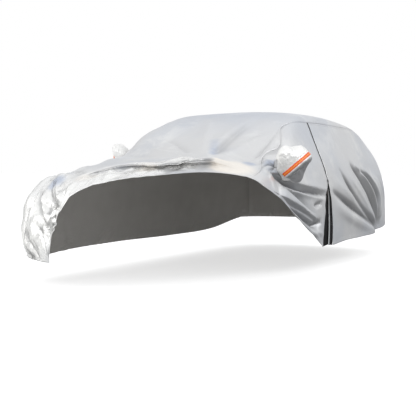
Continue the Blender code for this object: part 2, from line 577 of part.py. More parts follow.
def add_zip(ahead, behind, collection):
    """The zip between the two side panels' edges, which are given as points from the seam to the hem."""
    closed = between(ahead[: ZIP_CLOSED_CELLS + 1], behind[: ZIP_CLOSED_CELLS + 1], 2)
    grid_cloth("zip_closed", closed, CLOTH, BLACK, collection)

    ahead, behind = ahead[ZIP_CLOSED_CELLS:].copy(), behind[ZIP_CLOSED_CELLS:].copy()
    ahead[0] += (ahead[1] - ahead[0]) * OPEN_START
    behind[0] += (behind[1] - behind[0]) * OPEN_START
    width = np.linalg.norm(behind - ahead, axis=-1)
    tape_width = np.minimum(TAPE_WIDTH, TAPE_SHARE * width)
    front_tape = strip(ahead, TAPE_TURN, tape_width)
    rear_tape = strip(behind, TAPE_TURN * np.array([1, -1, 1]), tape_width)
    facing_width = np.clip(FACING_SHARE * (width - FACING_START), FACING_LEAST, FACING_WIDTH)
    facing = strip(rear_tape[:, -1], FACING_TURN, facing_width)
    inward = np.stack([-GUARD_DEPTH - GUARD_DEPTH_SHARE * width, GUARD_TUCK_SHARE * width, 0 * width], -1)
    guard = between(front_tape[:, -1], behind + inward, 3)
    grid_cloth("zip_tape_front", front_tape, TAPE, BLACK, collection)
    grid_cloth("zip_tape_rear", rear_tape, TAPE, BLACK, collection)
    grid_cloth("zip_facing", facing, TAPE, GREY, collection)
    grid_cloth("zip_guard", guard, TAPE, BLACK, collection)
    add_slider(closed, collection)


def add_slider(closed, collection):
    """The slider: a small rounded block that stands on the lower end of the closed zip."""
    across = closed[-1, -1] - closed[-1, 0]
    up = closed[-2, 1] - closed[-1, 1]
    up /= np.linalg.norm(up)
    out = np.cross(across, up)
    out /= np.linalg.norm(out)
    thick, wide, tall = SLIDER_SIZE
    middle = closed[-1, 1] + up * tall * 0.7 + out * (CLOTH + CLEAR + thick / 2)
    bpy.ops.mesh.primitive_cube_add(size=1)
    obj = bpy.context.object
    obj.name = "zip_slider"
    obj.dimensions = SLIDER_SIZE
    bpy.ops.object.transform_apply(location=False, rotation=False, scale=True)
    obj.matrix_world = Matrix((
        (out[0], np.cross(up, out)[0], up[0], middle[0] - ROOF_POINT[0]),
        (out[1], np.cross(up, out)[1], up[1], middle[1] - ROOF_POINT[1]),
        (out[2], np.cross(up, out)[2], up[2], middle[2] - ROOF_POINT[2]),
        (0, 0, 0, 1),
    ))
    bevel = obj.modifiers.new("rounded", "BEVEL")
    bevel.width = 0.0012
    bevel.segments = 2
    obj.data.materials.append(finish_material("zip_slider", **BLACK))
    for home in list(obj.users_collection):
        home.objects.unlink(obj)
    collection.objects.link(obj)


def main():
    clear_scene()
    cover = bpy.data.collections.new("car_cover")
    bpy.context.scene.collection.children.link(cover)

    rows, lifts, ahead = top_rows(ACROSS)
    flat = top_point(rows, ACROSS + 0 * rows)
    top = hang(flat) + outward(flat) * lifts[..., None]
    left_seam, right_seam = flat[:, -1], flat[:, 0]
    zip_row = ahead + 1 + len(ROWS_BEHIND)
    tail_row = len(rows) - DOWN - 1

    # left side ahead of the zip
    levels = np.concatenate([
        np.linspace(ZIP_TOP, ZIP_OPEN_BELOW, ZIP_CLOSED_CELLS, endpoint=False),
        np.linspace(ZIP_OPEN_BELOW, ZIP_BOTTOM, DOWN - ZIP_CLOSED_CELLS + 1),
    ])
    zip_ahead, zip_behind = np.moveaxis(smooth_line(ZIP_EDGES, levels), -1, 0)
    seam = left_seam[: zip_row + 1]
    rear = side_view(zip_ahead, levels, 1)
    rear[0] = seam[-1]
    bottom = edge_points(DIAGONAL_EDGE, shares(seam), 1)
    bottom[-1] = rear[-1]
    front = side_points(seam[0] + (bottom[0] - seam[0]) * np.linspace(0, 1, DOWN + 1)[:, None], 1)
    front[0], front[-1] = seam[0], bottom[0]
    left_hole = (1, ahead - 2)
    left_front = side_sheet(seam, bottom, front, rear, 1, left_hole, POCKETS["left"])

    # left side behind the zip
    seam = left_seam[zip_row + 1 : tail_row + 1]
    rear_corner = left_seam[tail_row:]
    front = side_view(zip_behind, levels, 1)
    front[0] = seam[0]
    bottom = edge_points(LEFT_REAR_HEM, line_value(REAR_FAN, shares(seam)), 1)
    bottom[0], bottom[-1] = front[-1], rear_corner[-1]
    left_rear = side_sheet(seam, bottom, front, rear_corner, 1)

    # right side
    seam = right_seam[DOWN : tail_row + 1]
    front = right_seam[: DOWN + 1][::-1]
    rear_corner = right_seam[tail_row:]
    bottom = edge_points(RIGHT_HEM, shares(seam), -1)
    bottom[0], bottom[-1] = front[-1], rear_corner[-1]
    right_hole = (1, ahead + 1 - DOWN)
    right = side_sheet(seam, bottom, front, rear_corner, -1, right_hole, POCKETS["right"])

    left_front, left_rear, right = hang(left_front), hang(left_rear), hang(right)
    grid_cloth("top_panel", pull_in(top, GAP / 2), CLOTH, SILVER, cover)
    grid_cloth("left_side_front", pull_in(left_front, GAP / 2), CLOTH, SILVER, cover, left_hole)
    grid_cloth("left_side_rear", pull_in(left_rear, GAP / 2), CLOTH, SILVER, cover)
    grid_cloth("right_side", pull_in(right, GAP / 2), CLOTH, SILVER, cover, right_hole)
    for name, grid, hole in (("left", left_front, left_hole), ("right", right, right_hole)):
        side, _, _, *mouth = POCKETS[name]
        add_pocket(name, grid[block_loop(*hole)], side, mouth, cover)
    add_zip(left_front[:, -1], left_rear[:, 0], cover)


main()
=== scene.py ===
# %% [markdown]
# # A fitted silver car cover, pulled back from one corner
# The cover is sewn from four large cloths, with a bag for each door mirror and a zip in its left side. The
# cloth is woven and coated with aluminium, so it is half mirror and half fabric: smooth where it is pulled
# tight over the roof, and as crumpled as foil where it has been pushed together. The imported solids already
# have the outline and the main folds. This script gives every cloth its thin sheet, its small creases, its
# hems and stitches, and its finish.

import bmesh
import bpy
import numpy as np
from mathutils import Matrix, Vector


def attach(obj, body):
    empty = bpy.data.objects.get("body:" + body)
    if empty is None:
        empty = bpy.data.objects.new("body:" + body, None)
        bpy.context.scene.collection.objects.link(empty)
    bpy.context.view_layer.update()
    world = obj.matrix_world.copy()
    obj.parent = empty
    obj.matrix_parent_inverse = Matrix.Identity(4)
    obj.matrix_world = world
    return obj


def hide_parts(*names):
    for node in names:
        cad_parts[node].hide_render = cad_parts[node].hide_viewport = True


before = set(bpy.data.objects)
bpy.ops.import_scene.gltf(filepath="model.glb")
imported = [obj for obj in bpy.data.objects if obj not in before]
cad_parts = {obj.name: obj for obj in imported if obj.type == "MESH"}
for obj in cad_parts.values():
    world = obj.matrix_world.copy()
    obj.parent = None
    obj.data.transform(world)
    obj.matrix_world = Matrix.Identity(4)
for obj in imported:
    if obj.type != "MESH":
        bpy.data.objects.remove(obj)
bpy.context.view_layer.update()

# %% [markdown]
# ## Camera
# The photograph was taken from a low place in front of the left headlamp. The place, the turn and the lens
# were solved from points whose real distances are known, such as the ends of the wheelbase. Lengths are
# metres, y = 0 is the line of the front wheels and z = 0 is the ground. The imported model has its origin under
# the roof instead, so `ROOF_POINT` is taken away from every place.

# %% Camera
ROOF_POINT = np.array([0.0, 1.60, 1.4445])
CAMERA_PLACE = np.array([3.69995, -5.80389, 0.91510])
CAMERA_DOWN, CAMERA_TURN, CAMERA_LENS = 2.7282, 29.1588, 73.57  # degrees, degrees, millimetres

camera_data = bpy.data.cameras.new("camera")
camera_data.lens = CAMERA_LENS
camera = bpy.data.objects.new("camera", camera_data)
camera.location = CAMERA_PLACE - ROOF_POINT
camera.rotation_euler = np.radians([90 - CAMERA_DOWN, 0, CAMERA_TURN])
bpy.context.scene.collection.objects.link(camera)
bpy.context.scene.camera = camera
bpy.context.scene.view_settings.view_transform = "Standard"
print("camera at", np.round(camera.location, 3))

# %% [markdown]
# ## Shader expressions
# A finish is easier to read as arithmetic than as a list of links. `Value` wraps a node's output so that
# `1 - mask * 0.5` builds the Math nodes. `Finish` holds one material and makes every other node: its type,
# its settings, and then the values or links of its sockets.

# %% Small shader language
class Value:
    """A node's output. Python's + - and * add Math nodes to the same material."""

    def __init__(self, finish, socket):
        self.finish, self.socket = finish, socket

    def math(self, operation, *values, clamp=False):
        settings = {"operation": operation, "use_clamp": clamp}
        return self.finish.node("ShaderNodeMath", settings, dict(enumerate(values)))

    def __add__(self, other):
        return self.math("ADD", self, other)

    def __sub__(self, other):
        return self.math("SUBTRACT", self, other)

    def __rsub__(self, other):
        return self.math("SUBTRACT", other, self)

    def __mul__(self, other):
        return self.math("MULTIPLY", self, other)

    __radd__, __rmul__ = __add__, __mul__

    def clamped(self):
        return self.math("ADD", self, 0.0, clamp=True)

    def step(self, low, high):
        """0 below low, 1 above high and a smooth rise between them."""
        sockets = {"Value": self, "From Min": low, "From Max": high}
        return self.finish.node("ShaderNodeMapRange", {"interpolation_type": "SMOOTHSTEP"}, sockets)


print("values can be added, subtracted and multiplied")

# %% One class for a material
class Finish:
    """One material. `node` adds any node, and `shade` sets the Principled shader's sockets."""

    def __init__(self, name):
        self.material = bpy.data.materials.new(name)
        self.material.use_nodes = True
        self.tree = self.material.node_tree
        self.shader = self.tree.nodes["Principled BSDF"]

    def put(self, socket, value):
        if isinstance(value, Value):
            self.tree.links.new(value.socket, socket)
        else:
            socket.default_value = value

    def node(self, kind, settings=(), sockets=(), output=0):
        made = self.tree.nodes.new(kind)
        for name, value in dict(settings).items():
            setattr(made, name, value)
        for name, value in dict(sockets).items():
            self.put(made.inputs[name], value)
        return Value(self, made.outputs[output])

    def places(self):
        """Object coordinates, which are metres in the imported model's frame."""
        return self.node("ShaderNodeTexCoord", output="Object")

    def cloth_uv(self):
        """Metres along and across the flat cloth."""
        return self.node("ShaderNodeUVMap", {"uv_map": "cloth"})

    def attribute(self, name):
        return self.node("ShaderNodeAttribute", {"attribute_name": name}, output="Fac")

    def noise(self, vector, scale, detail=3.0, rough=0.55, warp=0.0):
        sockets = {"Vector": vector, "Scale": scale, "Detail": detail, "Roughness": rough, "Distortion": warp}
        return self.node("ShaderNodeTexNoise", {}, sockets)

    def mix(self, share, first, second):
        """A colour between two colours."""
        sockets = {0: share, 6: first, 7: second}
        return self.node("ShaderNodeMix", {"data_type": "RGBA"}, sockets, output=2)

    def bump(self, height, metres, below=None, strength=1.0):
        sockets = {"Height": height, "Distance": metres, "Strength": strength}
        if below is not None:
            sockets["Normal"] = below
        return self.node("ShaderNodeBump", {}, sockets)

    def shade(self, **sockets):
        for name, value in sockets.items():
            self.put(self.shader.inputs[name.replace("_", " ")], value)
        return self.material


def colour(red, green, blue):
    return (red, green, blue, 1.0)


print("grey is", colour(0.5, 0.5, 0.5))

# %% [markdown]
# ## Studio
# A plain pale floor and soft light. Coated cloth shows what it reflects, so the room matters more than the
# lamps: bright overhead, and dim low down, which turns the undersides of the folds dark. A world that is
# brighter overhead than at the horizon gives that with one gradient. One dark flag beyond the zip side gives
# the folds there their contrast. The floor is reflected bright only on the right, where the foil faces it.

# %% Studio sizes and colours
FLOOR_SIZE = 160.0
FLOOR_HEIGHT = -ROOF_POINT[2]
# columns: name, place, point it faces, width and height in metres, watts, colour
LAMPS = (
    ("key", (-6.0, -7.0, 2.6), (0.0, -1.2, -0.5), 6.5, 4.5, 120, (1.0, 0.99, 0.97)),
    ("front", (2.5, -9.5, 3.0), (0.2, -1.5, -0.6), 5.0, 2.5, 150, (1.0, 1.0, 1.0)),
    ("side", (6.5, 0.5, 3.2), (0.5, 0.2, -0.6), 5.0, 3.0, 170, (0.98, 0.99, 1.0)),
)
HORIZON, MIDDLE = colour(0.56, 0.565, 0.57), colour(0.72, 0.725, 0.73)
OVERHEAD = colour(0.98, 0.99, 1.00)
FLAG_WAY, FLAG_EDGE = (0.95, 0.28, -0.10), (0.78, 0.97)  # where the dark flag stands, and its soft edge
FLAG_DARK = colour(0.10, 0.10, 0.105)
FLOOR_SEEN, FLOOR_GLOW = colour(0.60, 0.60, 0.60), colour(0.62, 0.62, 0.62)
FLOOR_DIM, FLOOR_BRIGHT = colour(0.38, 0.38, 0.38), colour(0.92, 0.92, 0.91)  # what the cover reflects of it
FLOOR_EDGE = (-2.2, -0.4)  # x: bright on the cover's right, before the first, and dim past the second

print("lamps", [row[0] for row in LAMPS])

# %% Floor, room and lamps
def add_floor():
    """A wide square. It glows a little, so that the shadow on it stays pale."""
    corners = np.array([(-1, -1), (1, -1), (1, 1), (-1, 1)]) * FLOOR_SIZE / 2
    mesh = bpy.data.meshes.new("floor")
    mesh.from_pydata([(x, y, FLOOR_HEIGHT) for x, y in corners.tolist()], [], [(0, 1, 2, 3)])
    finish = Finish("pale_floor")
    seen = finish.node("ShaderNodeLightPath", output="Is Camera Ray")
    place = finish.node("ShaderNodeSeparateXYZ", {}, {0: finish.places()})
    reflected = finish.mix(place.step(*FLOOR_EDGE), FLOOR_BRIGHT, FLOOR_DIM)
    finish.shade(Base_Color=finish.mix(seen, reflected, FLOOR_SEEN), Roughness=0.9)
    finish.shade(Emission_Color=finish.mix(seen, colour(0, 0, 0), FLOOR_GLOW), Emission_Strength=1.0)
    mesh.materials.append(finish.material)
    floor = bpy.data.objects.new("floor", mesh)
    bpy.context.scene.collection.objects.link(floor)


class Room(Finish):
    """The world's own nodes, written in the same words as a finish."""

    def __init__(self):
        self.material = bpy.data.worlds.new("room")
        bpy.context.scene.world = self.material
        self.material.use_nodes = True
        self.tree = self.material.node_tree
        self.shader = self.tree.nodes["Background"]


def light_room():
    """White where the camera looks. All other light rises softly from the horizon, with one dark flag."""
    room = Room()
    way = room.node("ShaderNodeTexCoord", output="Generated")
    height = room.node("ShaderNodeSeparateXYZ", {}, {0: way}, output="Z")
    sky = room.mix(height.step(0.0, 0.25), HORIZON, MIDDLE)
    sky = room.mix(height.step(0.25, 0.85), sky, OVERHEAD)
    turned = {"operation": "DOT_PRODUCT"}
    toward = room.node("ShaderNodeVectorMath", turned, {0: way, 1: FLAG_WAY}, output="Value")
    sky = room.mix(toward.step(*FLAG_EDGE), sky, FLAG_DARK)
    seen = room.node("ShaderNodeLightPath", output="Is Camera Ray")
    room.shade(Color=room.mix(seen, sky, colour(1, 1, 1)))


def add_lamp(name, place, faces, width, height, watts, painted_reflection):
    lamp = bpy.data.lights.new(name, "AREA")
    lamp.shape = "RECTANGLE"
    lamp.size, lamp.size_y = width, height
    lamp.energy, lamp.color = watts, painted_reflection
    obj = bpy.data.objects.new(name, lamp)
    obj.location = place
    obj.rotation_euler = (Vector(faces) - Vector(place)).to_track_quat("-Z", "Y").to_euler()
    bpy.context.scene.collection.objects.link(obj)


add_floor()
light_room()
for lamp_row in LAMPS:
    add_lamp(*lamp_row)

# %% [markdown]
# ## The shape under the cloth
# A worn cover is tight over what carries it, so every cloth starts on one smooth body shape. That shape is
# the largest of four simple distances: behind the nose line, ahead of the tail line, inside the side line
# and under the top line. Taking a softened largest value rounds the edges between them. A cloth could also be
# dropped on this shape with a simulation, but its cut lines would then slide away from where the photograph
# shows them, so cut lines are thrown onto the shape by rays instead.

# %% Body lines
HALF_WIDTH = 0.925
CORNER_RADIUS = 0.020
# columns: y, height of the centre line
TOP_LINE = np.array([
    (-1.20, 0.500), (-0.90, 0.585), (-0.845, 0.620), (-0.80, 0.700), (-0.70, 0.785), (-0.40, 0.885),
    (0.00, 0.965), (0.25, 1.015), (0.42, 1.055), (0.75, 1.205), (1.05, 1.345), (1.30, 1.415),
    (1.60, 1.445), (2.00, 1.445), (2.50, 1.415), (3.00, 1.350), (3.60, 1.260),
])
# columns: height, half width
SIDE_LINE = np.array([
    (0.00, HALF_WIDTH), (0.50, HALF_WIDTH), (0.66, 0.915), (0.80, 0.885), (0.95, 0.835), (1.10, 0.765),
    (1.25, 0.690), (1.36, 0.630), (1.50, 0.550),
])
# columns: height, y of the tail
REAR_LINE = np.array([
    (0.00, 3.49), (0.60, 3.49), (0.80, 3.45), (0.95, 3.38), (1.10, 3.27), (1.20, 3.18), (1.33, 3.04),
    (1.50, 2.88),
])
# columns: height, y of the nose
NOSE_LINE = np.array([(0.00, -0.85), (0.60, -0.85), (0.72, -0.80), (0.80, -0.68), (1.00, -0.30)])
NOSE_Y, TAIL_Y = -0.85, 3.49
NOSE_CORNER_LENGTH, NOSE_CORNER_POWER = 0.75, 2.8
TAIL_CORNER_LENGTH, TAIL_CORNER_POWER = 0.62, 3.0
NOSE_BOW, TAIL_BOW, SCREEN_BOW = 0.14, 0.16, 0.30
ROOF_BOW, ROOF_BOW_POWER = 0.135, 2.2
SCREEN_BOW_END = 2.0  # y past which the lines across the body are straight
print("body from", NOSE_Y, "to", TAIL_Y)


# %% Lines, ramps and the body shape
def smooth_line(table, at):
    """A smooth curve through a table's first column and the rest: cubics that share their slopes."""
    place, value = table[:, 0], table[:, 1:]
    slope = np.gradient(value, place, axis=0)
    at = np.asarray(at, float)
    i = np.clip(np.searchsorted(place, at) - 1, 0, len(place) - 2)
    length = (place[i + 1] - place[i])[..., None]
    s = np.clip((at - place[i])[..., None] / length, 0, 1)
    start = (1 + 2 * s) * (1 - s) ** 2 * value[i] + s * (1 - s) ** 2 * length * slope[i]
    end = s * s * (3 - 2 * s) * value[i + 1] + s * s * (s - 1) * length * slope[i + 1]
    return start + end


def line_value(table, at):
    """The one value of a two-column table."""
    return smooth_line(table, at)[..., 0]


def ramp(value, low, high):
    """0 below low, 1 above high and a smooth rise between them."""
    s = np.clip((value - low) / (high - low), 0, 1)
    return s * s * (3 - 2 * s)


def corner_width(y):
    """Share of the full width at y: it falls to nothing at the nose and the tail along rounded corners."""
    ahead = np.clip((y - NOSE_Y) / NOSE_CORNER_LENGTH, 0, 1)
    behind = np.clip((TAIL_Y - y) / TAIL_CORNER_LENGTH, 0, 1)
    nose = (1 - (1 - ahead) ** NOSE_CORNER_POWER) ** (1 / NOSE_CORNER_POWER)
    tail = (1 - (1 - behind) ** TAIL_CORNER_POWER) ** (1 / TAIL_CORNER_POWER)
    return np.maximum(nose * tail, 0.02)


def body(p):
    """Below zero inside the body: the largest of the nose, tail, side and top distances, corners softened."""
    x, y, z = np.abs(p[..., 0]), p[..., 1], p[..., 2]
    swept_y = y - SCREEN_BOW * x**2 * np.clip(SCREEN_BOW_END - y, 0, 1)
    faces = np.stack([
        line_value(NOSE_LINE, z) + NOSE_BOW * x**2 - y,
        y - line_value(REAR_LINE, z) + TAIL_BOW * x**2,
        x - line_value(SIDE_LINE, z) * corner_width(y),
        z - line_value(TOP_LINE, swept_y) + ROOF_BOW * x**ROOF_BOW_POWER,
    ])
    most = faces.max(0)
    return most + CORNER_RADIUS * np.log(np.exp((faces - most) / CORNER_RADIUS).sum(0))


print("roof height", round(float(line_value(TOP_LINE, 1.6)), 3))


# %% Rays and normals of the body
def leave_body(inner, target, halvings=30):
    """Where the rays from inner points through their targets leave the body shape, found by halving."""
    way = target - inner
    way = way / np.linalg.norm(way, axis=-1, keepdims=True)
    near, far = np.zeros(way.shape[:-1]), np.full(way.shape[:-1], 2.0)
    for _ in range(halvings):
        middle = (near + far) / 2
        outside = body(inner + way * middle[..., None]) > 0
        far = np.where(outside, middle, far)
        near = np.where(outside, near, middle)
    return inner + way * near[..., None]


def outward(p):
    """Unit normals of the body shape, from its slope by small steps."""
    axes = np.eye(3) * 0.004
    slope = np.stack([body(p + axis) - body(p - axis) for axis in axes], -1)
    return slope / np.linalg.norm(slope, axis=-1, keepdims=True)


print("normal on the roof", outward(np.array([[0.0, 1.6, 1.445]])).round(2))

# %% [markdown]
# ## Creases
# Crushed foil has flat facets between sharp, straight ridges and valleys. Smooth noise looks like dough, so
# the facets come from scattered points. The least of (distance squared + a random start) over the points is
# made of planes, plus one round term that is the same for any set of points. A second set taken away from the
# first cancels that term: only flat facets are left, with ridges from one set and valleys from the other. All
# of it is a function of place, so two cloths that meet at a seam crease alike there.

# %% Crease noise
def lattice_random(cells, seed):
    """Three repeatable numbers from -1 to 1 for each whole-numbered cell, from mixed bits of its numbers."""
    cells = cells.astype(np.uint64)
    mixed = cells[..., 0] * np.uint64(0x9E3779B1) + cells[..., 1] * np.uint64(0x85EBCA77)
    mixed = mixed + cells[..., 2] * np.uint64(0xC2B2AE3D) + np.uint64(seed * 7919)
    numbers = []
    for _ in range(3):
        mixed = (mixed ^ (mixed >> np.uint64(29))) * np.uint64(0xBF58476D1CE4E5B9)
        mixed = mixed ^ (mixed >> np.uint64(32))
        numbers.append((mixed & np.uint64(0xFFFFF)).astype(float) / 0x7FFFF - 1)
    return np.stack(numbers, -1)


def soft_noise(p, seed):
    """Gradient noise, about -1 to 1: a random slope in each corner of a cell, blended smoothly."""
    low = np.floor(p)
    inside = p - low
    blend = inside**3 * (inside * (inside * 6 - 15) + 10)
    total = np.zeros(p.shape[:-1])
    for corner in np.ndindex(2, 2, 2):
        corner = np.array(corner)
        weight = np.where(corner, blend, 1 - blend).prod(-1)
        slope = lattice_random((low + corner + 4096).astype(np.int64), seed)
        total += weight * (slope * (inside - corner)).sum(-1)
    return total * 1.6


def least_bowl(q, seed):
    """The least of |q - a|² + h over one scattered point a in each cell nearby, with a random h."""
    low = np.floor(q)
    least = np.full(q.shape[:-1], np.inf)
    for corner in np.ndindex(3, 3, 3):
        cell = low + np.array(corner) - 1
        shift = lattice_random((cell + 4096).astype(np.int64), seed)
        away = q - (cell + 0.5 + 0.5 * shift)
        least = np.minimum(least, (away**2).sum(-1) + 0.2 * shift[..., 0])
    return least


def facets(p, size, seed):
    """Flat facets between ridges and valleys, about -0.6 to 0.6: one least bowl less another."""
    return least_bowl(p / size, seed) - least_bowl(p / size + 0.5, seed + 1)


np.seterr(over="ignore")  # the mixed bits run over on purpose
sample = facets(np.random.default_rng(1).uniform(-1, 1, (4000, 3)), 0.1, 3)
print("facets from", round(sample.min(), 2), "to", round(sample.max(), 2))

# %% [markdown]
# ## Folds
# The photograph's folds are few and can be named one by one, so each is a row of a table: a bent line in the
# view from the side, the top or the front, a height, and a width on either side of the line. A trough whose
# upper side is the wide one has a broad dark face over a thin bright lip, which is how pulled cloth folds.
# Round swells stand for cloth that hangs clear of the shape, such as the flared front corner.

# %% Fold tables
# columns: y and z of the start, middle and end seen from the left, height (troughs below zero), widths above
# and below the line, sharpness of the crest
LEFT_FOLDS = np.array([
    # the pulled-up front flap: each dark face lies above its trough, under the lip of the cloth above
    (0.28, 0.915, 0.70, 0.790, 1.38, 0.715, 0.020, 0.050, 0.016, 1.5),
    (0.34, 0.866, 0.72, 0.735, 1.34, 0.662, -0.050, 0.036, 0.010, 1.4),
    (0.34, 0.852, 0.70, 0.720, 1.30, 0.638, 0.016, 0.010, 0.026, 1.4),
    (0.34, 0.850, 0.66, 0.692, 1.03, 0.516, -0.040, 0.044, 0.018, 1.4),
    (0.36, 0.700, 0.72, 0.592, 1.10, 0.472, 0.034, 0.080, 0.014, 1.5),
    (0.52, 0.606, 0.80, 0.528, 1.06, 0.438, 0.013, 0.010, 0.016, 1.6),
    (0.54, 0.602, 0.84, 0.470, 1.10, 0.378, -0.052, 0.052, 0.012, 1.4),
    (0.46, 0.604, 0.80, 0.440, 1.16, 0.300, 0.016, 0.012, 0.030, 1.4),
    (1.06, 0.580, 1.14, 0.580, 1.23, 0.598, -0.038, 0.020, 0.009, 1.6),
    (1.02, 0.410, 1.10, 0.404, 1.21, 0.438, -0.042, 0.036, 0.011, 1.6),
    (0.98, 0.350, 1.10, 0.345, 1.24, 0.330, 0.016, 0.026, 0.026, 1.7),
    (1.24, 0.660, 1.30, 0.520, 1.30, 0.330, 0.010, 0.022, 0.022, 1.7),
    # fine folds between the screen and the mirror pocket
    (0.36, 0.960, 0.48, 0.935, 0.62, 0.880, -0.020, 0.014, 0.020, 1.5),
    (0.42, 1.000, 0.56, 0.950, 0.66, 0.860, 0.012, 0.012, 0.016, 1.5),
    (0.40, 0.925, 0.52, 0.890, 0.66, 0.830, 0.014, 0.014, 0.014, 1.5),
    (0.30, 0.900, 0.42, 0.905, 0.50, 0.960, -0.016, 0.014, 0.014, 1.6),
    (0.60, 1.040, 0.70, 1.080, 0.80, 1.140, -0.016, 0.022, 0.028, 1.6),
    # folds that meet at the drawn-in spot behind the rear wheel
    (1.58, 0.690, 2.12, 0.505, 2.89, 0.268, -0.046, 0.028, 0.030, 1.6),
    (1.66, 0.780, 2.12, 0.600, 2.80, 0.335, 0.010, 0.050, 0.040, 1.8),
    (1.60, 0.560, 2.05, 0.420, 2.76, 0.262, 0.026, 0.060, 0.060, 1.9),
    (1.88, 0.880, 2.22, 0.580, 2.80, 0.312, -0.034, 0.024, 0.030, 1.5),
    (2.06, 0.840, 2.36, 0.600, 2.82, 0.320, 0.012, 0.040, 0.028, 1.7),
    (2.22, 0.935, 2.56, 0.640, 2.88, 0.300, -0.056, 0.036, 0.034, 1.5),
    (2.34, 0.930, 2.62, 0.690, 2.84, 0.400, 0.024, 0.030, 0.022, 1.7),
    (2.42, 0.880, 2.74, 0.700, 2.90, 0.360, -0.048, 0.024, 0.028, 1.5),
    (2.58, 0.880, 2.82, 0.680, 2.88, 0.430, 0.020, 0.034, 0.024, 1.7),
    (2.86, 0.480, 2.90, 0.390, 2.94, 0.280, -0.034, 0.018, 0.024, 1.6),
    (2.78, 0.840, 2.96, 0.620, 2.92, 0.380, 0.018, 0.046, 0.040, 1.7),
    (2.95, 0.760, 3.06, 0.560, 2.98, 0.380, -0.018, 0.034, 0.050, 1.8),
])
# columns: x and y of the start, middle and end seen from above, height, widths to the left and right of the
# line, sharpness of the crest
TOP_FOLDS = np.array([
    (0.69, 0.36, 0.66, 0.70, 0.63, 1.08, 0.016, 0.022, 0.040, 1.5),
    (0.645, 0.38, 0.618, 0.68, 0.60, 1.06, -0.014, 0.014, 0.010, 1.5),
    (0.30, 0.36, 0.29, 0.66, 0.34, 1.16, -0.024, 0.024, 0.075, 1.6),
    (0.26, 0.40, 0.23, 0.70, 0.28, 1.10, 0.016, 0.060, 0.030, 1.8),
    (0.38, 0.40, 0.46, 0.66, 0.54, 0.94, 0.014, 0.050, 0.050, 1.8),
    (0.42, 0.72, 0.48, 0.84, 0.55, 0.96, -0.012, 0.014, 0.030, 1.5),
    (0.18, 0.42, 0.06, 0.70, -0.06, 1.02, 0.018, 0.070, 0.040, 1.8),
    (0.06, 0.36, -0.16, 0.58, -0.44, 0.76, -0.020, 0.030, 0.070, 1.7),
    (-0.04, 0.28, -0.30, 0.46, -0.60, 0.62, 0.022, 0.070, 0.040, 1.7),
    (-0.16, 0.20, -0.42, 0.34, -0.70, 0.46, -0.010, 0.030, 0.050, 1.7),
    (-0.30, 0.08, -0.52, 0.20, -0.76, 0.30, 0.014, 0.060, 0.040, 1.7),
    (0.10, 0.80, -0.10, 1.00, -0.34, 1.14, 0.016, 0.080, 0.060, 2.0),
    (-0.22, -0.20, -0.50, -0.14, -0.80, 0.00, 0.016, 0.050, 0.040, 1.6),
    (-0.36, -0.34, -0.56, -0.28, -0.78, -0.18, -0.016, 0.024, 0.050, 1.5),
    (-0.44, -0.52, -0.58, -0.46, -0.76, -0.38, 0.016, 0.040, 0.036, 1.5),
])
# columns: x and z of the start, middle and end seen from the front, height, widths on either side, sharpness
CORNER_FOLDS = np.array([
    (-0.67, 0.69, -0.60, 0.58, -0.50, 0.47, -0.026, 0.016, 0.026, 1.5),
    (-0.63, 0.71, -0.55, 0.59, -0.45, 0.49, 0.018, 0.020, 0.016, 1.5),
    (-0.62, 0.77, -0.50, 0.68, -0.36, 0.60, -0.024, 0.010, 0.020, 1.4),
    (-0.58, 0.79, -0.46, 0.71, -0.32, 0.64, 0.016, 0.020, 0.014, 1.5),
    (-0.52, 0.468, -0.44, 0.478, -0.36, 0.492, -0.026, 0.010, 0.010, 1.4),
    (-0.50, 0.436, -0.44, 0.442, -0.38, 0.448, -0.018, 0.010, 0.010, 1.4),
    (-0.46, 0.590, -0.42, 0.550, -0.38, 0.510, -0.030, 0.022, 0.022, 1.8),
    (-0.66, 0.48, -0.60, 0.36, -0.56, 0.26, 0.018, 0.012, 0.012, 1.4),
    (-0.60, 0.47, -0.53, 0.37, -0.50, 0.26, -0.024, 0.020, 0.012, 1.4),
    (-0.52, 0.40, -0.47, 0.32, -0.45, 0.24, 0.018, 0.014, 0.014, 1.4),
    (-0.72, 0.46, -0.69, 0.34, -0.60, 0.22, -0.026, 0.020, 0.012, 1.4),
    (-0.75, 0.44, -0.72, 0.32, -0.66, 0.22, 0.016, 0.014, 0.014, 1.4),
    (-0.70, 0.80, -0.56, 0.76, -0.36, 0.74, -0.014, 0.020, 0.030, 1.4),
])
# columns: x, y, z of the middle, how far the cloth stands out, radius
SWELLS = np.array([
    (-0.86, -0.60, 0.37, 0.085, 0.22), (-0.74, -0.75, 0.15, -0.060, 0.12), (-0.86, -0.30, 0.62, 0.030, 0.20),
    (-0.72, -0.50, 0.79, 0.055, 0.20), (-0.76, -0.05, 0.92, 0.045, 0.24), (-0.70, 0.36, 1.00, 0.040, 0.24),
    (-0.66, 0.86, 1.17, 0.070, 0.28), (-0.58, 1.25, 1.36, 0.025, 0.26), (0.66, 3.02, 1.20, -0.035, 0.20),
    (0.93, 2.90, 0.24, -0.045, 0.16), (0.26, -0.10, 0.94, 0.026, 0.11),
])
print("folds", len(LEFT_FOLDS) + len(TOP_FOLDS) + len(CORNER_FOLDS), "swells", len(SWELLS))


# %% Heights of folds and swells
FOLD_STEPS = 16  # straight steps in a fold's bent line


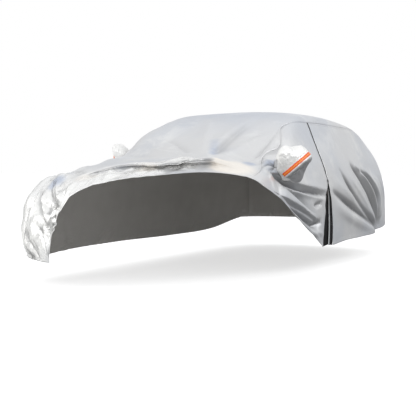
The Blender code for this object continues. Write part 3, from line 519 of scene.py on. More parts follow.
def fold_height(flat, folds):
    """Sum of folds: across its bent line each falls off as exp(-(distance / width) ** sharpness).

    Along the line it rises and falls as half a sine wave, to the power 0.6.
    """
    total = np.zeros(flat.shape[:-1])
    for x0, y0, x1, y1, x2, y2, height, above, below, sharp in folds:
        t = np.linspace(0, 1, FOLD_STEPS + 1)[:, None]
        start, middle, end = np.array([x0, y0]), np.array([x1, y1]), np.array([x2, y2])
        bend = 2 * middle - (start + end) / 2
        line = (1 - t) ** 2 * start + 2 * t * (1 - t) * bend + t**2 * end
        step, span = np.diff(line, axis=0), np.arange(FOLD_STEPS)
        reach = 0.6 * np.linalg.norm(end - start) + 3 * max(above, below)
        near = np.linalg.norm(flat - middle, axis=-1) < reach
        offset = flat[near][:, None] - line[:-1]
        share = np.clip((offset * step).sum(-1) / (step**2).sum(-1), 0, 1)
        away = offset - share[..., None] * step
        distance = np.linalg.norm(away, axis=-1)
        nearest = distance.argmin(-1)
        row = np.arange(len(nearest))
        side = step[nearest, 0] * offset[row, nearest, 1] - step[nearest, 1] * offset[row, nearest, 0]
        along = (span[nearest] + share[row, nearest]) / FOLD_STEPS
        fade = np.sin(np.pi * (along * 0.92 + 0.04)) ** 0.6
        width = np.where(side > 0, above, below)
        total[near] += height * fade * np.exp(-((distance[row, nearest] / width) ** sharp))
    return total


def swell_height(p):
    """Sum of round swells, each a bell around its middle."""
    total = np.zeros(p.shape[:-1])
    for x, y, z, height, radius in SWELLS:
        total += height * np.exp(-((np.linalg.norm(p - np.array([x, y, z]), axis=-1) / radius) ** 2))
    return total


print("highest swell", SWELLS[:, 3].max())

# %% [markdown]
# ## Where the cloth is crushed
# The foil look is strongest at the front right corner, where the cover bunches over the bumper, and along the
# edge that runs across the bonnet. It fades into smooth cloth over the screen and the roof. One number from 0
# to 1 says how crushed each point is. It raises the creases here, and later makes the finish smoother and more
# metallic, with a painted shine that pales its colour.

# %% Crushed areas and the cloth's hang
# columns: x, y, z, radius, how crushed
CRUSHED = np.array([
    (-0.80, -0.80, 0.45, 0.52, 1.0), (-0.45, -0.80, 0.62, 0.42, 1.0), (-0.70, -0.45, 0.75, 0.36, 0.8),
    (-0.15, -0.60, 0.84, 0.30, 0.9), (-0.95, -0.30, 0.40, 0.45, 0.7), (0.10, -0.40, 0.88, 0.26, 0.8),
    (0.26, -0.12, 0.93, 0.22, 1.0), (0.86, 0.36, 0.80, 0.14, 0.5),
])
FACET_STRETCH = np.array([1.0, 0.62, 0.30])  # facets are longest downwards
# columns: size of the facets, their height in metres, seed
FACETS = ((0.130, 0.026, 11), (0.065, 0.015, 13), (0.035, 0.0060, 15))
CREASE_BEND, CREASE_BEND_SIZE = 0.025, 0.15
RIPPLE_SIZE, RIPPLE_HEIGHT = 0.34, 0.0035
# Each fold table counts only on its own part of the body. Rows of a part: axis, its sign (0 for the same on
# both sides), the place along it where the table starts to count, and the length until it counts fully.
LEFT_PART = ((0, 1, 0.55, 0.20), (2, -1, -1.12, 0.10))
TOP_PART = ((2, 1, 0.70, 0.10), (0, 0, -0.86, 0.08))
CORNER_PART = ((0, -1, 0.30, 0.10), (1, -1, 0.45, 0.15))


def crushed(p):
    """How crushed the cloth is: the largest of some soft balls."""
    most = np.zeros(p.shape[:-1])
    for x, y, z, radius, share in CRUSHED:
        away = np.linalg.norm(p - np.array([x, y, z]), axis=-1) / radius
        most = np.maximum(most, share * (1 - ramp(away, 0.45, 1.15)))
    return most


def crease_height(p, share):
    """Facets in three sizes where the cloth is crushed, and faint broad ripples everywhere."""
    height = RIPPLE_HEIGHT * (soft_noise(p / RIPPLE_SIZE, 21) + 0.5 * soft_noise(p / RIPPLE_SIZE * 2.3, 22))
    near = share > 0
    bent = (p + CREASE_BEND * soft_noise(p / CREASE_BEND_SIZE, 5)[..., None])[near] * FACET_STRETCH
    for size, metres, seed in FACETS:
        height[near] += share[near] * metres * facets(bent, size, seed)
    return height


def part_share(p, part):
    """0 to 1: how far a point lies in a part, the product of a straight rise along each of its axes."""
    share = 1.0
    for axis, sign, start, length in part:
        place = sign * p[..., axis] if sign else -np.abs(p[..., axis])
        share = share * np.clip((place - start) / length, 0, 1)
    return share


def hang(p, creased=1.0):
    """The cloth's place over a point of the body: moved along its normal by swells, creases and folds."""
    height = swell_height(p) + crease_height(p, crushed(p) * creased)
    height = height + part_share(p, LEFT_PART) * fold_height(p[..., 1:], LEFT_FOLDS)
    height = height + part_share(p, TOP_PART) * fold_height(p[..., :2], TOP_FOLDS)
    height = height + part_share(p, CORNER_PART) * fold_height(p[..., ::2], CORNER_FOLDS)
    return p + outward(p) * height[..., None]


print("crushed balls", len(CRUSHED))

# %% [markdown]
# ## The cut of the cover
# The top cloth runs from the front hem over the nose, bonnet, screen, roof and tail to the rear hem. It is
# worked out from stations, which are curves across the body, and a place across. Each side cloth hangs from
# the same seam curve, so its upper edge is found with the same function. All panels are grids: a row for each
# place down the cloth and a column for each place along it.

# %% Stations and rows of the top cloth
# columns: seam x, y and z, centre y and z, and y and z of the inner point that the station is seen from
STATIONS = np.array([
    (0.72, -0.69, 0.195, -0.86, 0.20, 0.20, 0.20),  # 0 front hem
    (0.73, -0.68, 0.45, -0.86, 0.45, 0.20, 0.44),  # 1 bumper
    (0.72, -0.64, 0.66, -0.80, 0.70, 0.20, 0.52),  # 2 nose
    (0.74, -0.50, 0.80, -0.62, 0.83, 0.10, 0.50),  # 3 bonnet lip
    (0.80, -0.20, 0.86, -0.30, 0.90, 0.00, 0.50),  # 4 bonnet
    (0.84, 0.05, 0.86, 0.00, 0.965, 0.10, 0.50),  # 5
    (0.81, 0.28, 0.92, 0.25, 1.015, 0.30, 0.50),  # 6
    (0.76, 0.45, 1.02, 0.42, 1.055, 0.48, 0.52),  # 7 foot of the screen
    (0.72, 0.62, 1.08, 0.60, 1.14, 0.66, 0.60),  # 8 over the mirror
    (0.72, 0.78, 1.095, 0.80, 1.23, 0.83, 0.70),  # 9
    (0.67, 0.93, 1.18, 1.00, 1.33, 1.00, 0.80),  # 10
    (0.60, 1.09, 1.277, 1.15, 1.38, 1.15, 0.90),  # 11 front of the roof
    (0.63, 1.33, 1.31, 1.38, 1.43, 1.37, 0.90),  # 12
    (0.645, 1.557, 1.327, 1.60, 1.445, 1.60, 0.90),  # 13 top of the zip
    (0.65, 1.90, 1.333, 1.90, 1.445, 1.88, 0.90),  # 14
    (0.655, 2.30, 1.322, 2.30, 1.43, 2.15, 0.90),  # 15
    (0.65, 2.65, 1.308, 2.70, 1.40, 2.35, 0.90),  # 16
    (0.645, 2.88, 1.29, 3.00, 1.35, 2.40, 0.86),  # 17 tail lip
    (0.67, 3.03, 1.18, 3.22, 1.20, 2.40, 0.80),  # 18
    (0.72, 3.15, 1.03, 3.36, 1.02, 2.40, 0.72),  # 19
    (0.78, 3.22, 0.85, 3.45, 0.82, 2.40, 0.62),  # 20
    (0.80, 3.27, 0.60, 3.49, 0.58, 2.40, 0.50),  # 21
    (0.80, 3.28, 0.33, 3.49, 0.33, 2.40, 0.33),  # 22 rear hem
])
DOWN = 12  # coarse rows of a side cloth from seam to hem
SCREEN_FOOT, ZIP_STATION, TAIL_CORNER_STATION = 7.5, 13.0, 17.0
# columns: place across (-1 the right seam, 1 the left seam), station where the cloth starts
FRONT_EDGE = np.array([
    (-1.00, 0.00), (-0.75, 0.00), (-0.62, 0.00), (-0.60, 0.45), (-0.53, 1.10), (-0.42, 1.85),
    (-0.33, 2.15), (-0.23, 2.45), (-0.11, 2.70), (0.03, 2.92), (0.21, 3.10), (0.37, 3.32), (0.53, 3.75),
    (0.70, 4.18), (0.80, 4.38), (1.00, 4.75),
])
# The bonnet fold, where the cloth runs back under itself and forward again.
# columns: place across, stations from the edge to the fold's nose, overlap and distance between rows in
# metres, height in metres, 0 to 1 for how much the rows follow the fold
BONNET_FOLD = np.array([
    (-1.00, 1.60, 0.00, 0.010, 0.000, 0.0), (-0.62, 1.60, 0.002, 0.014, 0.018, 0.5),
    (-0.38, 1.45, 0.014, 0.012, 0.030, 1.0), (-0.24, 1.30, 0.024, 0.008, 0.036, 1.0),
    (-0.12, 1.20, 0.030, 0.006, 0.038, 1.0), (0.03, 1.05, 0.036, 0.003, 0.040, 1.0),
    (0.20, 0.85, 0.05, 0.000, 0.044, 1.0), (0.36, 0.80, 0.06, 0.000, 0.052, 1.0),
    (0.50, 0.80, 0.06, 0.003, 0.062, 1.0), (0.58, 0.90, 0.04, 0.007, 0.066, 1.0),
    (0.65, 0.75, 0.02, 0.010, 0.060, 1.0), (0.73, 0.60, 0.01, 0.012, 0.050, 1.0),
    (0.86, 0.35, 0.00, 0.014, 0.026, 1.0), (1.00, 0.20, 0.00, 0.018, 0.000, 1.0),
])
STATION_LENGTH = 0.30  # metres of bonnet in one station
# columns: overlaps behind the fold's nose, heights above the bonnet
FOLD_SECTION = np.array([
    (0.10, 0.05), (1.00, 0.12), (1.20, 0.25), (1.00, 0.38), (0.20, 0.58), (-0.05, 0.75), (0.10, 0.93),
    (0.60, 1.00), (1.90, 0.78), (3.40, 0.36),
])
# columns: share of the way from the edge to the fold, then from the fold to the screen; share of the height
BEFORE_FOLD = np.array([(0.00, 0.03), (0.30, 0.04), (0.65, 0.05)])
AFTER_FOLD = np.array([(0.25, 0.12), (0.50, 0.03), (0.75, 0.00)])
CORNER_SHARE = 0.48  # of the bonnet rows without a fold: where the right side has its upper front corner
ROWS_BEHIND = [7.85, 8.2, 8.55, 8.9, 9.25, 9.6, 10.1, 10.7, 11.3, 12.1]
ROWS_ROOF = [13.35, 13.7, 14.0, 14.3, 14.6, 14.9, 15.2, 15.5, 15.8, 16.1, 16.4, 16.7]
AHEAD = len(BEFORE_FOLD) + len(FOLD_SECTION) + len(AFTER_FOLD)
ZIP_ROW = AHEAD + 1 + len(ROWS_BEHIND)
print("stations", len(STATIONS), "rows before the screen", AHEAD)


# %% Points of the top cloth
def coarse_rows(across):
    """Stations and lifts of the coarse rows: along the edge and the fold in front, straight behind them."""
    start = np.maximum(line_value(FRONT_EDGE, across), 0)
    to_nose, overlap, spacing, height, folded = np.moveaxis(smooth_line(BONNET_FOLD, across), -1, 0)
    nose = start + to_nose
    behind_nose = FOLD_SECTION[:, :1] * overlap + np.arange(len(FOLD_SECTION))[:, None] * spacing
    before = start + to_nose * BEFORE_FOLD[:, :1]
    section = nose + behind_nose / STATION_LENGTH
    after = section[-1] + (SCREEN_FOOT - section[-1]) * AFTER_FOLD[:, :1]
    folded_rows = np.vstack([before, section, after])
    lifted = np.vstack([BEFORE_FOLD[:, 1:], FOLD_SECTION[:, 1:], AFTER_FOLD[:, 1:]]) * height
    share = np.interp(np.arange(AHEAD), (0, DOWN, AHEAD), (0, CORNER_SHARE, 1))[:, None]
    plain_rows = start + (SCREEN_FOOT - start) * share
    rows = plain_rows + (folded_rows - plain_rows) * folded
    behind = [SCREEN_FOOT, *ROWS_BEHIND, ZIP_STATION - 0.05, ZIP_STATION + 0.05, *ROWS_ROOF]
    behind += list(np.linspace(TAIL_CORNER_STATION, len(STATIONS) - 1, DOWN + 1))
    behind = np.array(behind)[:, None] + 0 * across
    return np.vstack([rows, behind]), np.vstack([lifted * folded, 0 * behind])


def at_rows(values, row):
    """Values given on whole rows, taken smoothly at rows in between."""
    return smooth_line(np.hstack([np.arange(len(values))[:, None], values]), row)


def top_point(station, across):
    """The body's point at a station and a place across, -1 at the right seam and 1 at the left seam."""
    places = np.arange(len(STATIONS))[:, None]
    seam_x, seam_y, seam_z, mid_y, mid_z, inner_y, inner_z = np.moveaxis(
        smooth_line(np.hstack([places, STATIONS]), station), -1, 0
    )
    side = np.abs(across)
    x = seam_x * across
    target = np.stack([x, mid_y + (seam_y - mid_y) * side**2, mid_z + (seam_z - mid_z) * side**2.2], -1)
    inner = np.stack([0.4 * x, inner_y, inner_z], -1)
    return leave_body(inner, target)


def top_grid(row, across):
    """Points of the body under the top cloth, and how far the bonnet fold lifts each of them."""
    stations, lifts = coarse_rows(across)
    flat = top_point(at_rows(stations, row), across + 0 * row[:, None])
    return flat, at_rows(lifts, row)


TAIL_ROW = len(coarse_rows(np.array([0.0]))[0]) - DOWN - 1
LAST_ROW = TAIL_ROW + DOWN
print("coarse rows", LAST_ROW + 1, "zip row", ZIP_ROW, "tail row", TAIL_ROW)

# %% [markdown]
# ## From a grid to a sheet
# Each sheet is one layer of quads with a Solidify modifier, which gives the 1.5 mm cloth its back and its
# edges. The back gets a second finish, the soft lining. Besides the points, a mesh carries two things that
# its finish reads: the cloth's own metres as a UV map, for weave and stitches, and a few numbers a point: how
# crushed it is, its painted reflection, how far it lies from a hem and from a seam, and how much painted shade
# a fold gives it.

# %% Sheet helpers
CLOTH_THICK, TAPE_THICK = 0.0015, 0.0010
GAP = 0.0010  # between a tape and what it lies beside
FAR = 9.0  # metres, for a sheet without the side that is asked for
BODY_MIDDLE = np.array([0.0, 1.30, 0.50])
cover = bpy.data.collections.new("car_cover")
bpy.context.scene.collection.children.link(cover)


def lengths(points):
    """Distance along lines of points, the lines running down the first axis."""
    step = np.linalg.norm(np.diff(points, axis=0), axis=-1)
    return np.concatenate([np.zeros((1, *step.shape[1:])), step.cumsum(0)])


def cloth_metres(grid):
    """The flat cloth's metres of every grid point: along its columns and down its rows."""
    along = np.median(lengths(grid.swapaxes(0, 1)), axis=1)
    down = np.median(lengths(grid), axis=1)
    return np.stack(np.broadcast_arrays(along[None, :], down[:, None]), -1)


def grid_faces(rows, columns, skip=None):
    """Quads between neighbouring points, without those of a rectangular hole (row, column, rows, columns)."""
    row, column = np.meshgrid(np.arange(rows - 1), np.arange(columns - 1), indexing="ij")
    keep = np.ones(row.shape, bool)
    if skip:
        keep[skip[0] : skip[0] + skip[2], skip[1] : skip[1] + skip[3]] = False
    corner = (row * columns + column)[keep]
    return np.stack([corner, corner + columns, corner + columns + 1, corner + 1], -1)


def make_sheet(name, points, faces, finishes, thick, inner, numbers=(), metres=None, offset=1.0):
    """A sheet object: faces turned away from an inner point, numbers as attributes, metres as a UV map."""
    corners = points[faces[:, :3]]
    normals = np.cross(corners[:, 1] - corners[:, 0], corners[:, 2] - corners[:, 0])
    if (normals * (corners.mean(1) - inner)).sum() < 0:
        faces = faces[:, ::-1]
    used, faces = np.unique(faces, return_inverse=True)
    faces = faces.reshape(-1, 4)
    mesh = bpy.data.meshes.new(name)
    mesh.from_pydata((points[used] - ROOF_POINT).tolist(), [], faces.tolist())
    mesh.shade_smooth()
    for finish in finishes:
        mesh.materials.append(finish)
    for key, value in dict(numbers).items():
        layer = mesh.attributes.new(key, "FLOAT", "POINT")
        layer.data.foreach_set("value", np.broadcast_to(value, len(points))[used].astype(np.float32))
    if metres is not None:
        layer = mesh.uv_layers.new(name="cloth")
        layer.uv.foreach_set("vector", metres[used][faces].astype(np.float32).ravel())
    obj = bpy.data.objects.new(name, mesh)
    cover.objects.link(obj)
    solid = obj.modifiers.new("thickness", "SOLIDIFY")
    solid.thickness, solid.offset = thick, offset
    solid.material_offset = len(finishes) - 1
    print(name, "points", len(used), "area", round(float(np.linalg.norm(normals, axis=-1).sum()), 2))
    return obj


def grid_sheet(name, grid, finishes, thick, numbers, skip=None, inner=BODY_MIDDLE):
    """A sheet from a grid of points. Each number is one value, or one for each row, column or point."""
    numbers = {key: np.broadcast_to(value, grid.shape[:2]).ravel() for key, value in numbers.items()}
    faces, metres = grid_faces(*grid.shape[:2], skip), cloth_metres(grid).reshape(-1, 2)
    return make_sheet(name, grid.reshape(-1, 3), faces, finishes, thick, inner, numbers, metres)


def edge_distance(grid, sides):
    """Metres along the cloth to the nearest of the named free sides: first or last, row or column."""
    down, along = lengths(grid), lengths(grid.swapaxes(0, 1)).T
    to = {
        "first row": down, "last row": down[-1] - down,
        "first column": along, "last column": along[:, -1:] - along,
    }
    return np.minimum.reduce([to[side] for side in sides] + [np.full(grid.shape[:2], FAR)])


print("sheets are", CLOTH_THICK, "and", TAPE_THICK, "m thick")


# %% [markdown]
# ## Hems and seams
# A hem is the cloth turned in twice and stitched, so it stands a little proud and is stiffer: a raised band
# with a groove where the stitches pull it down. Elastic in the front and rear hems gathers them into small
# puckers. Panels are joined by a flat seam, a low ridge on the top cloth with the same groove. They are added
# along the surface's own normals after the folds, because they belong to the cloth and not to the body.

# %% Hem and seam relief
HEM_WIDTH, HEM_HEIGHT, STITCH_GROOVE = 0.026, 0.0030, 0.0018
SEAM_WIDTH, SEAM_HEIGHT, SEAM_START = 0.018, 0.0025, 0.006  # the sheets meet exactly before it starts
PUCKER_LENGTH, PUCKER_HEIGHT, PUCKER_REACH = 0.055, 0.006, 0.16
PUCKER_FADE = 0.04  # metres beside a seam, so that the cloths still meet there
# painted fold shade, columns: share of the shade, where it starts, where it is full
TROUGH_SHADE = (0.45, 0.002, 0.030)  # by depth in metres
FACE_SHADE = (0.75, 0.10, 0.55)  # by how far a fold turns the cloth down
FOIL_SHADE = (0.50, 0.003, 0.010)  # by depth in metres, where the cloth is crushed


def surface_normals(grid):
    """Unit normals of a grid of points, turned away from the middle of the body."""
    normals = np.cross(np.gradient(grid, axis=0), np.gradient(grid, axis=1))
    normals /= np.maximum(np.linalg.norm(normals, axis=-1, keepdims=True), 1e-12)
    return normals * np.sign((normals * (grid - BODY_MIDDLE)).sum() + 1e-9)


def band(distance, width, height, start=0.0):
    """A raised band from the edge, or from a start, to a width, with a groove for its stitches there."""
    raised = height * (1 - ramp(distance, width, width * 1.25)) * ramp(distance, start - 0.004, start)
    return raised - STITCH_GROOVE * np.exp(-(((distance - width) / 0.004) ** 2))


def sew(grid, hems, seams=(), gathered=()):
    """Adds hems, seam ridges and gathered puckers along the surface normals."""
    hem, seam = edge_distance(grid, hems), edge_distance(grid, seams)
    height = band(hem, HEM_WIDTH, HEM_HEIGHT) + band(seam, SEAM_WIDTH, SEAM_HEIGHT, SEAM_START)
    if gathered:
        metres = cloth_metres(grid)
        near = edge_distance(grid, gathered)
        run = metres.sum(-1) / PUCKER_LENGTH
        wave = np.sin(2 * np.pi * run + 1.7 * np.sin(run * 0.9)) * np.exp(-((near / PUCKER_REACH) ** 2))
        wave = wave * ramp(edge_distance(grid, ("first column", "last column")), 0.0, PUCKER_FADE)
        height = height + PUCKER_HEIGHT * wave
    return grid + surface_normals(grid) * height[..., None], hem, seam


def fold_depth(grid, reach=9):
    """How far each point lies below the average of its neighbourhood along the normal, in metres."""
    soft = grid
    for axis in (0, 1):
        around = [(reach + 1, reach) if a == axis else (0, 0) for a in range(3)]
        total = np.cumsum(np.pad(soft, around, "edge"), axis)
        size = grid.shape[axis]
        wide = np.take(total, range(2 * reach + 1, 2 * reach + 1 + size), axis)
        soft = (wide - np.take(total, range(size), axis)) / (2 * reach + 1)
    return ((soft - grid) * surface_normals(grid)).sum(-1)


def fold_shade(grid, flat):
    """0 to 1, painted shade: how deep a point lies in a trough, plus how far its face is turned down by a fold.
    """
    turned_down = surface_normals(flat)[..., 2] - surface_normals(grid)[..., 2]
    deep = fold_depth(grid)
    total = 0.0
    for (share, start, full), value, where in (
        (TROUGH_SHADE, deep, 1.0), (FACE_SHADE, turned_down, 1.0), (FOIL_SHADE, deep, crushed(flat)),
    ):
        total = total + share * ramp(value, start, full) * where
    return np.clip(total, 0, 1)


print("hem", HEM_WIDTH, "seam", SEAM_WIDTH)

# %% [markdown]
# ## Finishes
# Aluminium-coated cloth has the grey of the metal and a broad, soft highlight, with a faint grain from the
# threads beneath. Where it is crushed the coating shows its full shine: smoother and more metallic, and paler
# by a painted shine in its colour. Where the real cloth reflects something warm or blue, a painted reflection
# in its colour stands for that. Troughs, and faces that a fold turns down, get painted shade: a dark grey mixed
# into the colour. The lining is a warm white felt. Weave and stitches follow the cloth's own metres, and
# blotches and creases follow the object's.

# %% Cloth colours and tints
SMOOTH_GREY, COOL_GREY = colour(0.70, 0.70, 0.705), colour(0.64, 0.655, 0.685)
PALE_GREY = colour(0.82, 0.82, 0.815)
PAINTED_FOIL_SHINE, PAINTED_SHADE_GREY = colour(0.94, 0.935, 0.92), colour(0.16, 0.16, 0.165)
WARM_REFLECTION, BLUE_REFLECTION = colour(0.86, 0.81, 0.74), colour(0.38, 0.45, 0.60)
THREAD_GREY, HEM_WHITE = colour(0.36, 0.36, 0.37), colour(0.97, 0.97, 0.96)
FELT, FELT_SHADE = colour(0.74, 0.72, 0.69), colour(0.62, 0.60, 0.57)
STITCH_LENGTH = 0.006
CLOTH_THREADS, THREAD_HEIGHT = 420, 0.00015  # threads a metre
METAL, FOIL_METAL, WARM_METAL = 0.62, 0.06, 0.45  # of smooth cloth, added by foil, taken away by a painted warm reflection
ROUGH, ROUGH_CHANGE, FOIL_SMOOTH = 0.40, 0.16, 0.17  # of smooth cloth, its blotches, taken away by foil
FOLD_DARK, FOIL_SPARED = 0.85, 0.25  # how dark a fold's painted shade is, and how much less in foil
WARM_SHARE, BLUE_SHARE, THREAD_SHARE = 0.85, 0.70, 0.60  # how much of each colour shows at its full mask
# painted reflections. columns: x, y, z, radius, painted reflection: above 0 warm white, below 0 slate blue
PAINTED_REFLECTIONS = np.array([
    (0.64, 0.10, 0.93, 0.17, 1.3), (0.58, 0.00, 0.90, 0.10, 0.8), (0.77, 0.49, 0.945, 0.055, -0.9),
    (0.80, 0.58, 0.94, 0.05, -0.8), (0.84, 0.38, 0.88, 0.06, -0.5), (-0.58, -0.57, 0.80, 0.08, -1.0),
    (-0.66, -0.36, 0.84, 0.08, -0.5), (0.29, 0.40, 1.035, 0.045, -0.6), (0.265, 0.45, 1.06, 0.045, -0.5),
    (0.24, 0.50, 1.085, 0.045, -0.45), (0.21, 0.56, 1.115, 0.045, -0.4), (0.18, 0.62, 1.145, 0.045, -0.3),
    (-0.30, -0.55, 0.85, 0.09, 0.6), (0.10, -0.36, 0.89, 0.10, 0.5), (0.665, 0.30, 0.94, 0.055, -1.0),
    (0.00, 1.60, 1.44, 0.80, -0.35),
])


def painted_reflection(p):
    """Painted warm and blue reflections: a sum of bells, cut off at -1 and 1."""
    total = np.zeros(p.shape[:-1])
    for x, y, z, radius, share in PAINTED_REFLECTIONS:
        total += share * np.exp(-((np.linalg.norm(p - np.array([x, y, z]), axis=-1) / radius) ** 4))
    return np.clip(total, -1, 1)


print("tints", len(PAINTED_REFLECTIONS))


# %% Weave, stitches and facets as shader words
def weave_height(finish, metres, threads):
    """A plain weave: the product of two sine waves that cross, from 0 to 1."""
    split = finish.node("ShaderNodeSeparateXYZ", {}, {0: metres})
    other = Value(finish, split.socket.node.outputs[1])
    turns = [axis * (threads * 2 * np.pi) for axis in (split, other)]
    waves = [turn.math("SINE", turn) for turn in turns]
    return waves[0] * waves[1] * 0.5 + 0.5


def stitches(finish, metres, distance, at):
    """1 on short threads along the line that lies `at` metres from an edge, else 0."""
    off = distance - at
    split = finish.node("ShaderNodeSeparateXYZ", {}, {0: metres})
    run = (split + Value(finish, split.socket.node.outputs[1])) * (2 * np.pi / STITCH_LENGTH)
    return (1 - off.math("ABSOLUTE", off).step(0.0006, 0.0014)) * run.math("SINE", run).step(-0.5, 0.0)


def fine_facets(finish, place, scale):
    """The crease formula again, with Voronoi distances: one squared distance less another."""
    moved = finish.node("ShaderNodeVectorMath", {"operation": "ADD"}, {0: place, 1: (3.1, 7.7, 5.3)})
    cells = [{"Vector": at, "Scale": scale} for at in (place, moved)]
    near, other = [finish.node("ShaderNodeTexVoronoi", {}, sockets) for sockets in cells]
    return near * near - other * other


print("stitch length", STITCH_LENGTH)


# %% Silver cloth and its lining
def silver_cloth(name):
    """Smooth silver that turns to foil where the cloth is crushed. Its colour holds painted shine, painted
    reflections and painted fold shade.
    """
    finish = Finish(name)
    place, metres = finish.places(), finish.cloth_uv()
    foil, shade, reflection_mask = [finish.attribute(key) for key in ("crushed", "shade", "painted_reflection")]
    base = finish.mix(finish.noise(place, 1.6, 2.0).step(0.35, 0.65), SMOOTH_GREY, COOL_GREY)
    pale = finish.noise(place, 2.6, 5.0, 0.65, 0.6).step(0.48, 0.70) * 0.7
    base = finish.mix(pale, base, PALE_GREY)
    # Painted shine: crushed cloth is made paler in its colour.
    base = finish.mix(foil, base, PAINTED_FOIL_SHINE)
    # Painted reflections: warm white and slate blue mixed into the colour.
    base = finish.mix(reflection_mask.clamped() * WARM_SHARE, base, WARM_REFLECTION)
    base = finish.mix((0 - reflection_mask).clamped() * BLUE_SHARE, base, BLUE_REFLECTION)
    # Painted shade: the folds' shade number turns the colour towards a dark grey, less where the cloth is
    # crushed.
    base = finish.mix(shade * (1 - foil * FOIL_SPARED) * FOLD_DARK, base, PAINTED_SHADE_GREY)
    hem = finish.attribute("hem")
    base = finish.mix((1 - hem.step(0.008, 0.014)) * foil, base, HEM_WHITE)
    sewn = stitches(finish, metres, hem, HEM_WIDTH)
    sewn = sewn + stitches(finish, metres, finish.attribute("seam"), SEAM_WIDTH)
    base = finish.mix(sewn.clamped() * THREAD_SHARE, base, THREAD_GREY)
    rough = ROUGH + (finish.noise(place, 9.0, 5.0, 0.6) - 0.5) * ROUGH_CHANGE - foil * FOIL_SMOOTH
    weave = weave_height(finish, metres, CLOTH_THREADS) * THREAD_HEIGHT
    fine = finish.noise(place, 60.0, 4.0, 0.6) * 0.0012 + weave
    stretch = {"operation": "MULTIPLY"}
    long_place = finish.node("ShaderNodeVectorMath", stretch, {0: place, 1: (1.0, 0.7, 0.4)})
    crumple = fine_facets(finish, long_place, 20.0) * 0.0045 + fine_facets(finish, place, 55.0) * 0.0008
    mottle = finish.noise(place, 12.0, 3.0) * 0.002 + finish.noise(place, 4.5, 4.0, 0.6) * 0.007
    relief = fine + crumple * foil + mottle - sewn * 0.0004
    metal = METAL + foil * FOIL_METAL - reflection_mask.clamped() * WARM_METAL
    return finish.shade(Base_Color=base, Metallic=metal, Roughness=rough, Normal=finish.bump(relief, 1.0))


def felt_lining(name):
    """Matt felt: a broad change of tone, soft lumps and a fine fuzz."""
    finish = Finish(name)
    place = finish.places()
    fuzz = finish.noise(place, 420.0, 3.0) * 0.0004 + finish.noise(place, 30.0, 3.0) * 0.001
    tone = finish.mix(finish.noise(place, 5.0), FELT, FELT_SHADE)
    finish.shade(Sheen_Weight=0.2, Sheen_Roughness=0.5)
    return finish.shade(Base_Color=tone, Roughness=0.85, Normal=finish.bump(fuzz, 1.0))


silver = silver_cloth("silver_cloth")
felt = felt_lining("felt_lining")
print("finishes", silver.name, felt.name)

# %% [markdown]
# ## The top cloth
# Columns run from the right seam to the left one. Rows are closer together over the bonnet, which has the
# fold and the creases, than over the roof and the tail.

# %% Top cloth
TOP_COLUMNS = 158
# columns: first coarse row, last coarse row, fine rows between them
TOP_ROW_SHARES = ((0, AHEAD, 188), (AHEAD, ZIP_ROW, 46), (ZIP_ROW, TAIL_ROW, 30), (TAIL_ROW, LAST_ROW, 32))
BUNCH, BUNCH_RADIUS = np.array([0.26, -0.12, 0.93]), 0.17  # where the fold is pushed together
# Painted shade added over the bunch, on top of the folds' painted shade.
BUNCH_SHADE = 0.22
WARM_CLEARS = 0.9  # the share of the painted fold shade that a painted warm reflection takes away, because it lies in the light
FOLD_LIFTS, HEM_CALM_WIDTH = (0.004, 0.020), 0.12
FOLD_CALM = 0.75  # how much of the creases the bonnet fold's own curve pulls flat
HEM_CALM = 0.35  # share of the creases that the stiff front hem keeps
COLUMN_SPREAD = ((0.0, 0.5, 1.0), (-1.0, -0.15, 1.0))  # share of the columns, place across


def fine_rows(shares):
    """Coarse row numbers of the fine rows, evenly spaced within each stretch."""
    return np.concatenate([np.linspace(a, b, n, endpoint=False) for a, b, n in shares] + [[shares[-1][1]]])


def cloth_sheet(name, flat, sewn, shade, skip=None):
    """One of the four large cloths, with the numbers that its finish reads."""
    grid, hem, seam = sewn
    numbers = {"crushed": crushed(flat), "painted_reflection": painted_reflection(grid), "hem": hem, "seam": seam, "shade": shade}
    return grid_sheet(name, grid, (silver, felt), CLOTH_THICK, numbers, skip)


def make_top():
    """The top cloth: laid on the body, lifted along the bonnet fold, hung and sewn."""
    across = np.interp(np.linspace(0, 1, TOP_COLUMNS), *COLUMN_SPREAD)
    flat, lifts = top_grid(fine_rows(TOP_ROW_SHARES), across)
    bunched = np.exp(-((np.linalg.norm(flat - BUNCH, axis=-1) / BUNCH_RADIUS) ** 2))
    creased = 1 - FOLD_CALM * ramp(lifts, *FOLD_LIFTS) * (1 - bunched)
    inland = ramp(edge_distance(flat, ("first row",)), 0.0, HEM_CALM_WIDTH)
    creased = creased * (HEM_CALM + (1 - HEM_CALM) * inland)
    grid = hang(flat, creased) + outward(flat) * lifts[..., None]
    sewn = sew(grid, ("first row", "last row"), ("first column", "last column"), ("last row",))
    # Painted shade from the folds and the bunch, taken away where a painted warm reflection lies.
    lit = 1 - WARM_CLEARS * np.clip(painted_reflection(sewn[0]), 0, 1)
    shade = np.minimum(fold_shade(sewn[0], flat) * lit + BUNCH_SHADE * bunched, 1)
    return cloth_sheet("top_cloth", flat, sewn, shade)


top_cloth = make_top()

# %% [markdown]
# ## The side cloths
# A side cloth is a sheet between four edges: its seam, its hem, and its front and rear. Blending opposite
# edges and taking away the blend of the corners gives a grid that meets all four, which is then thrown onto
# the body by level rays. The mirror's hole is made in the same grid: a block of its cells becomes an oval.

# %% Side cloth edges
DIAGONAL_EDGE = np.array([
    (0.075, 0.778), (0.21, 0.728), (0.40, 0.652), (0.55, 0.560), (0.76, 0.444), (1.03, 0.319),
    (1.248, 0.215),
])
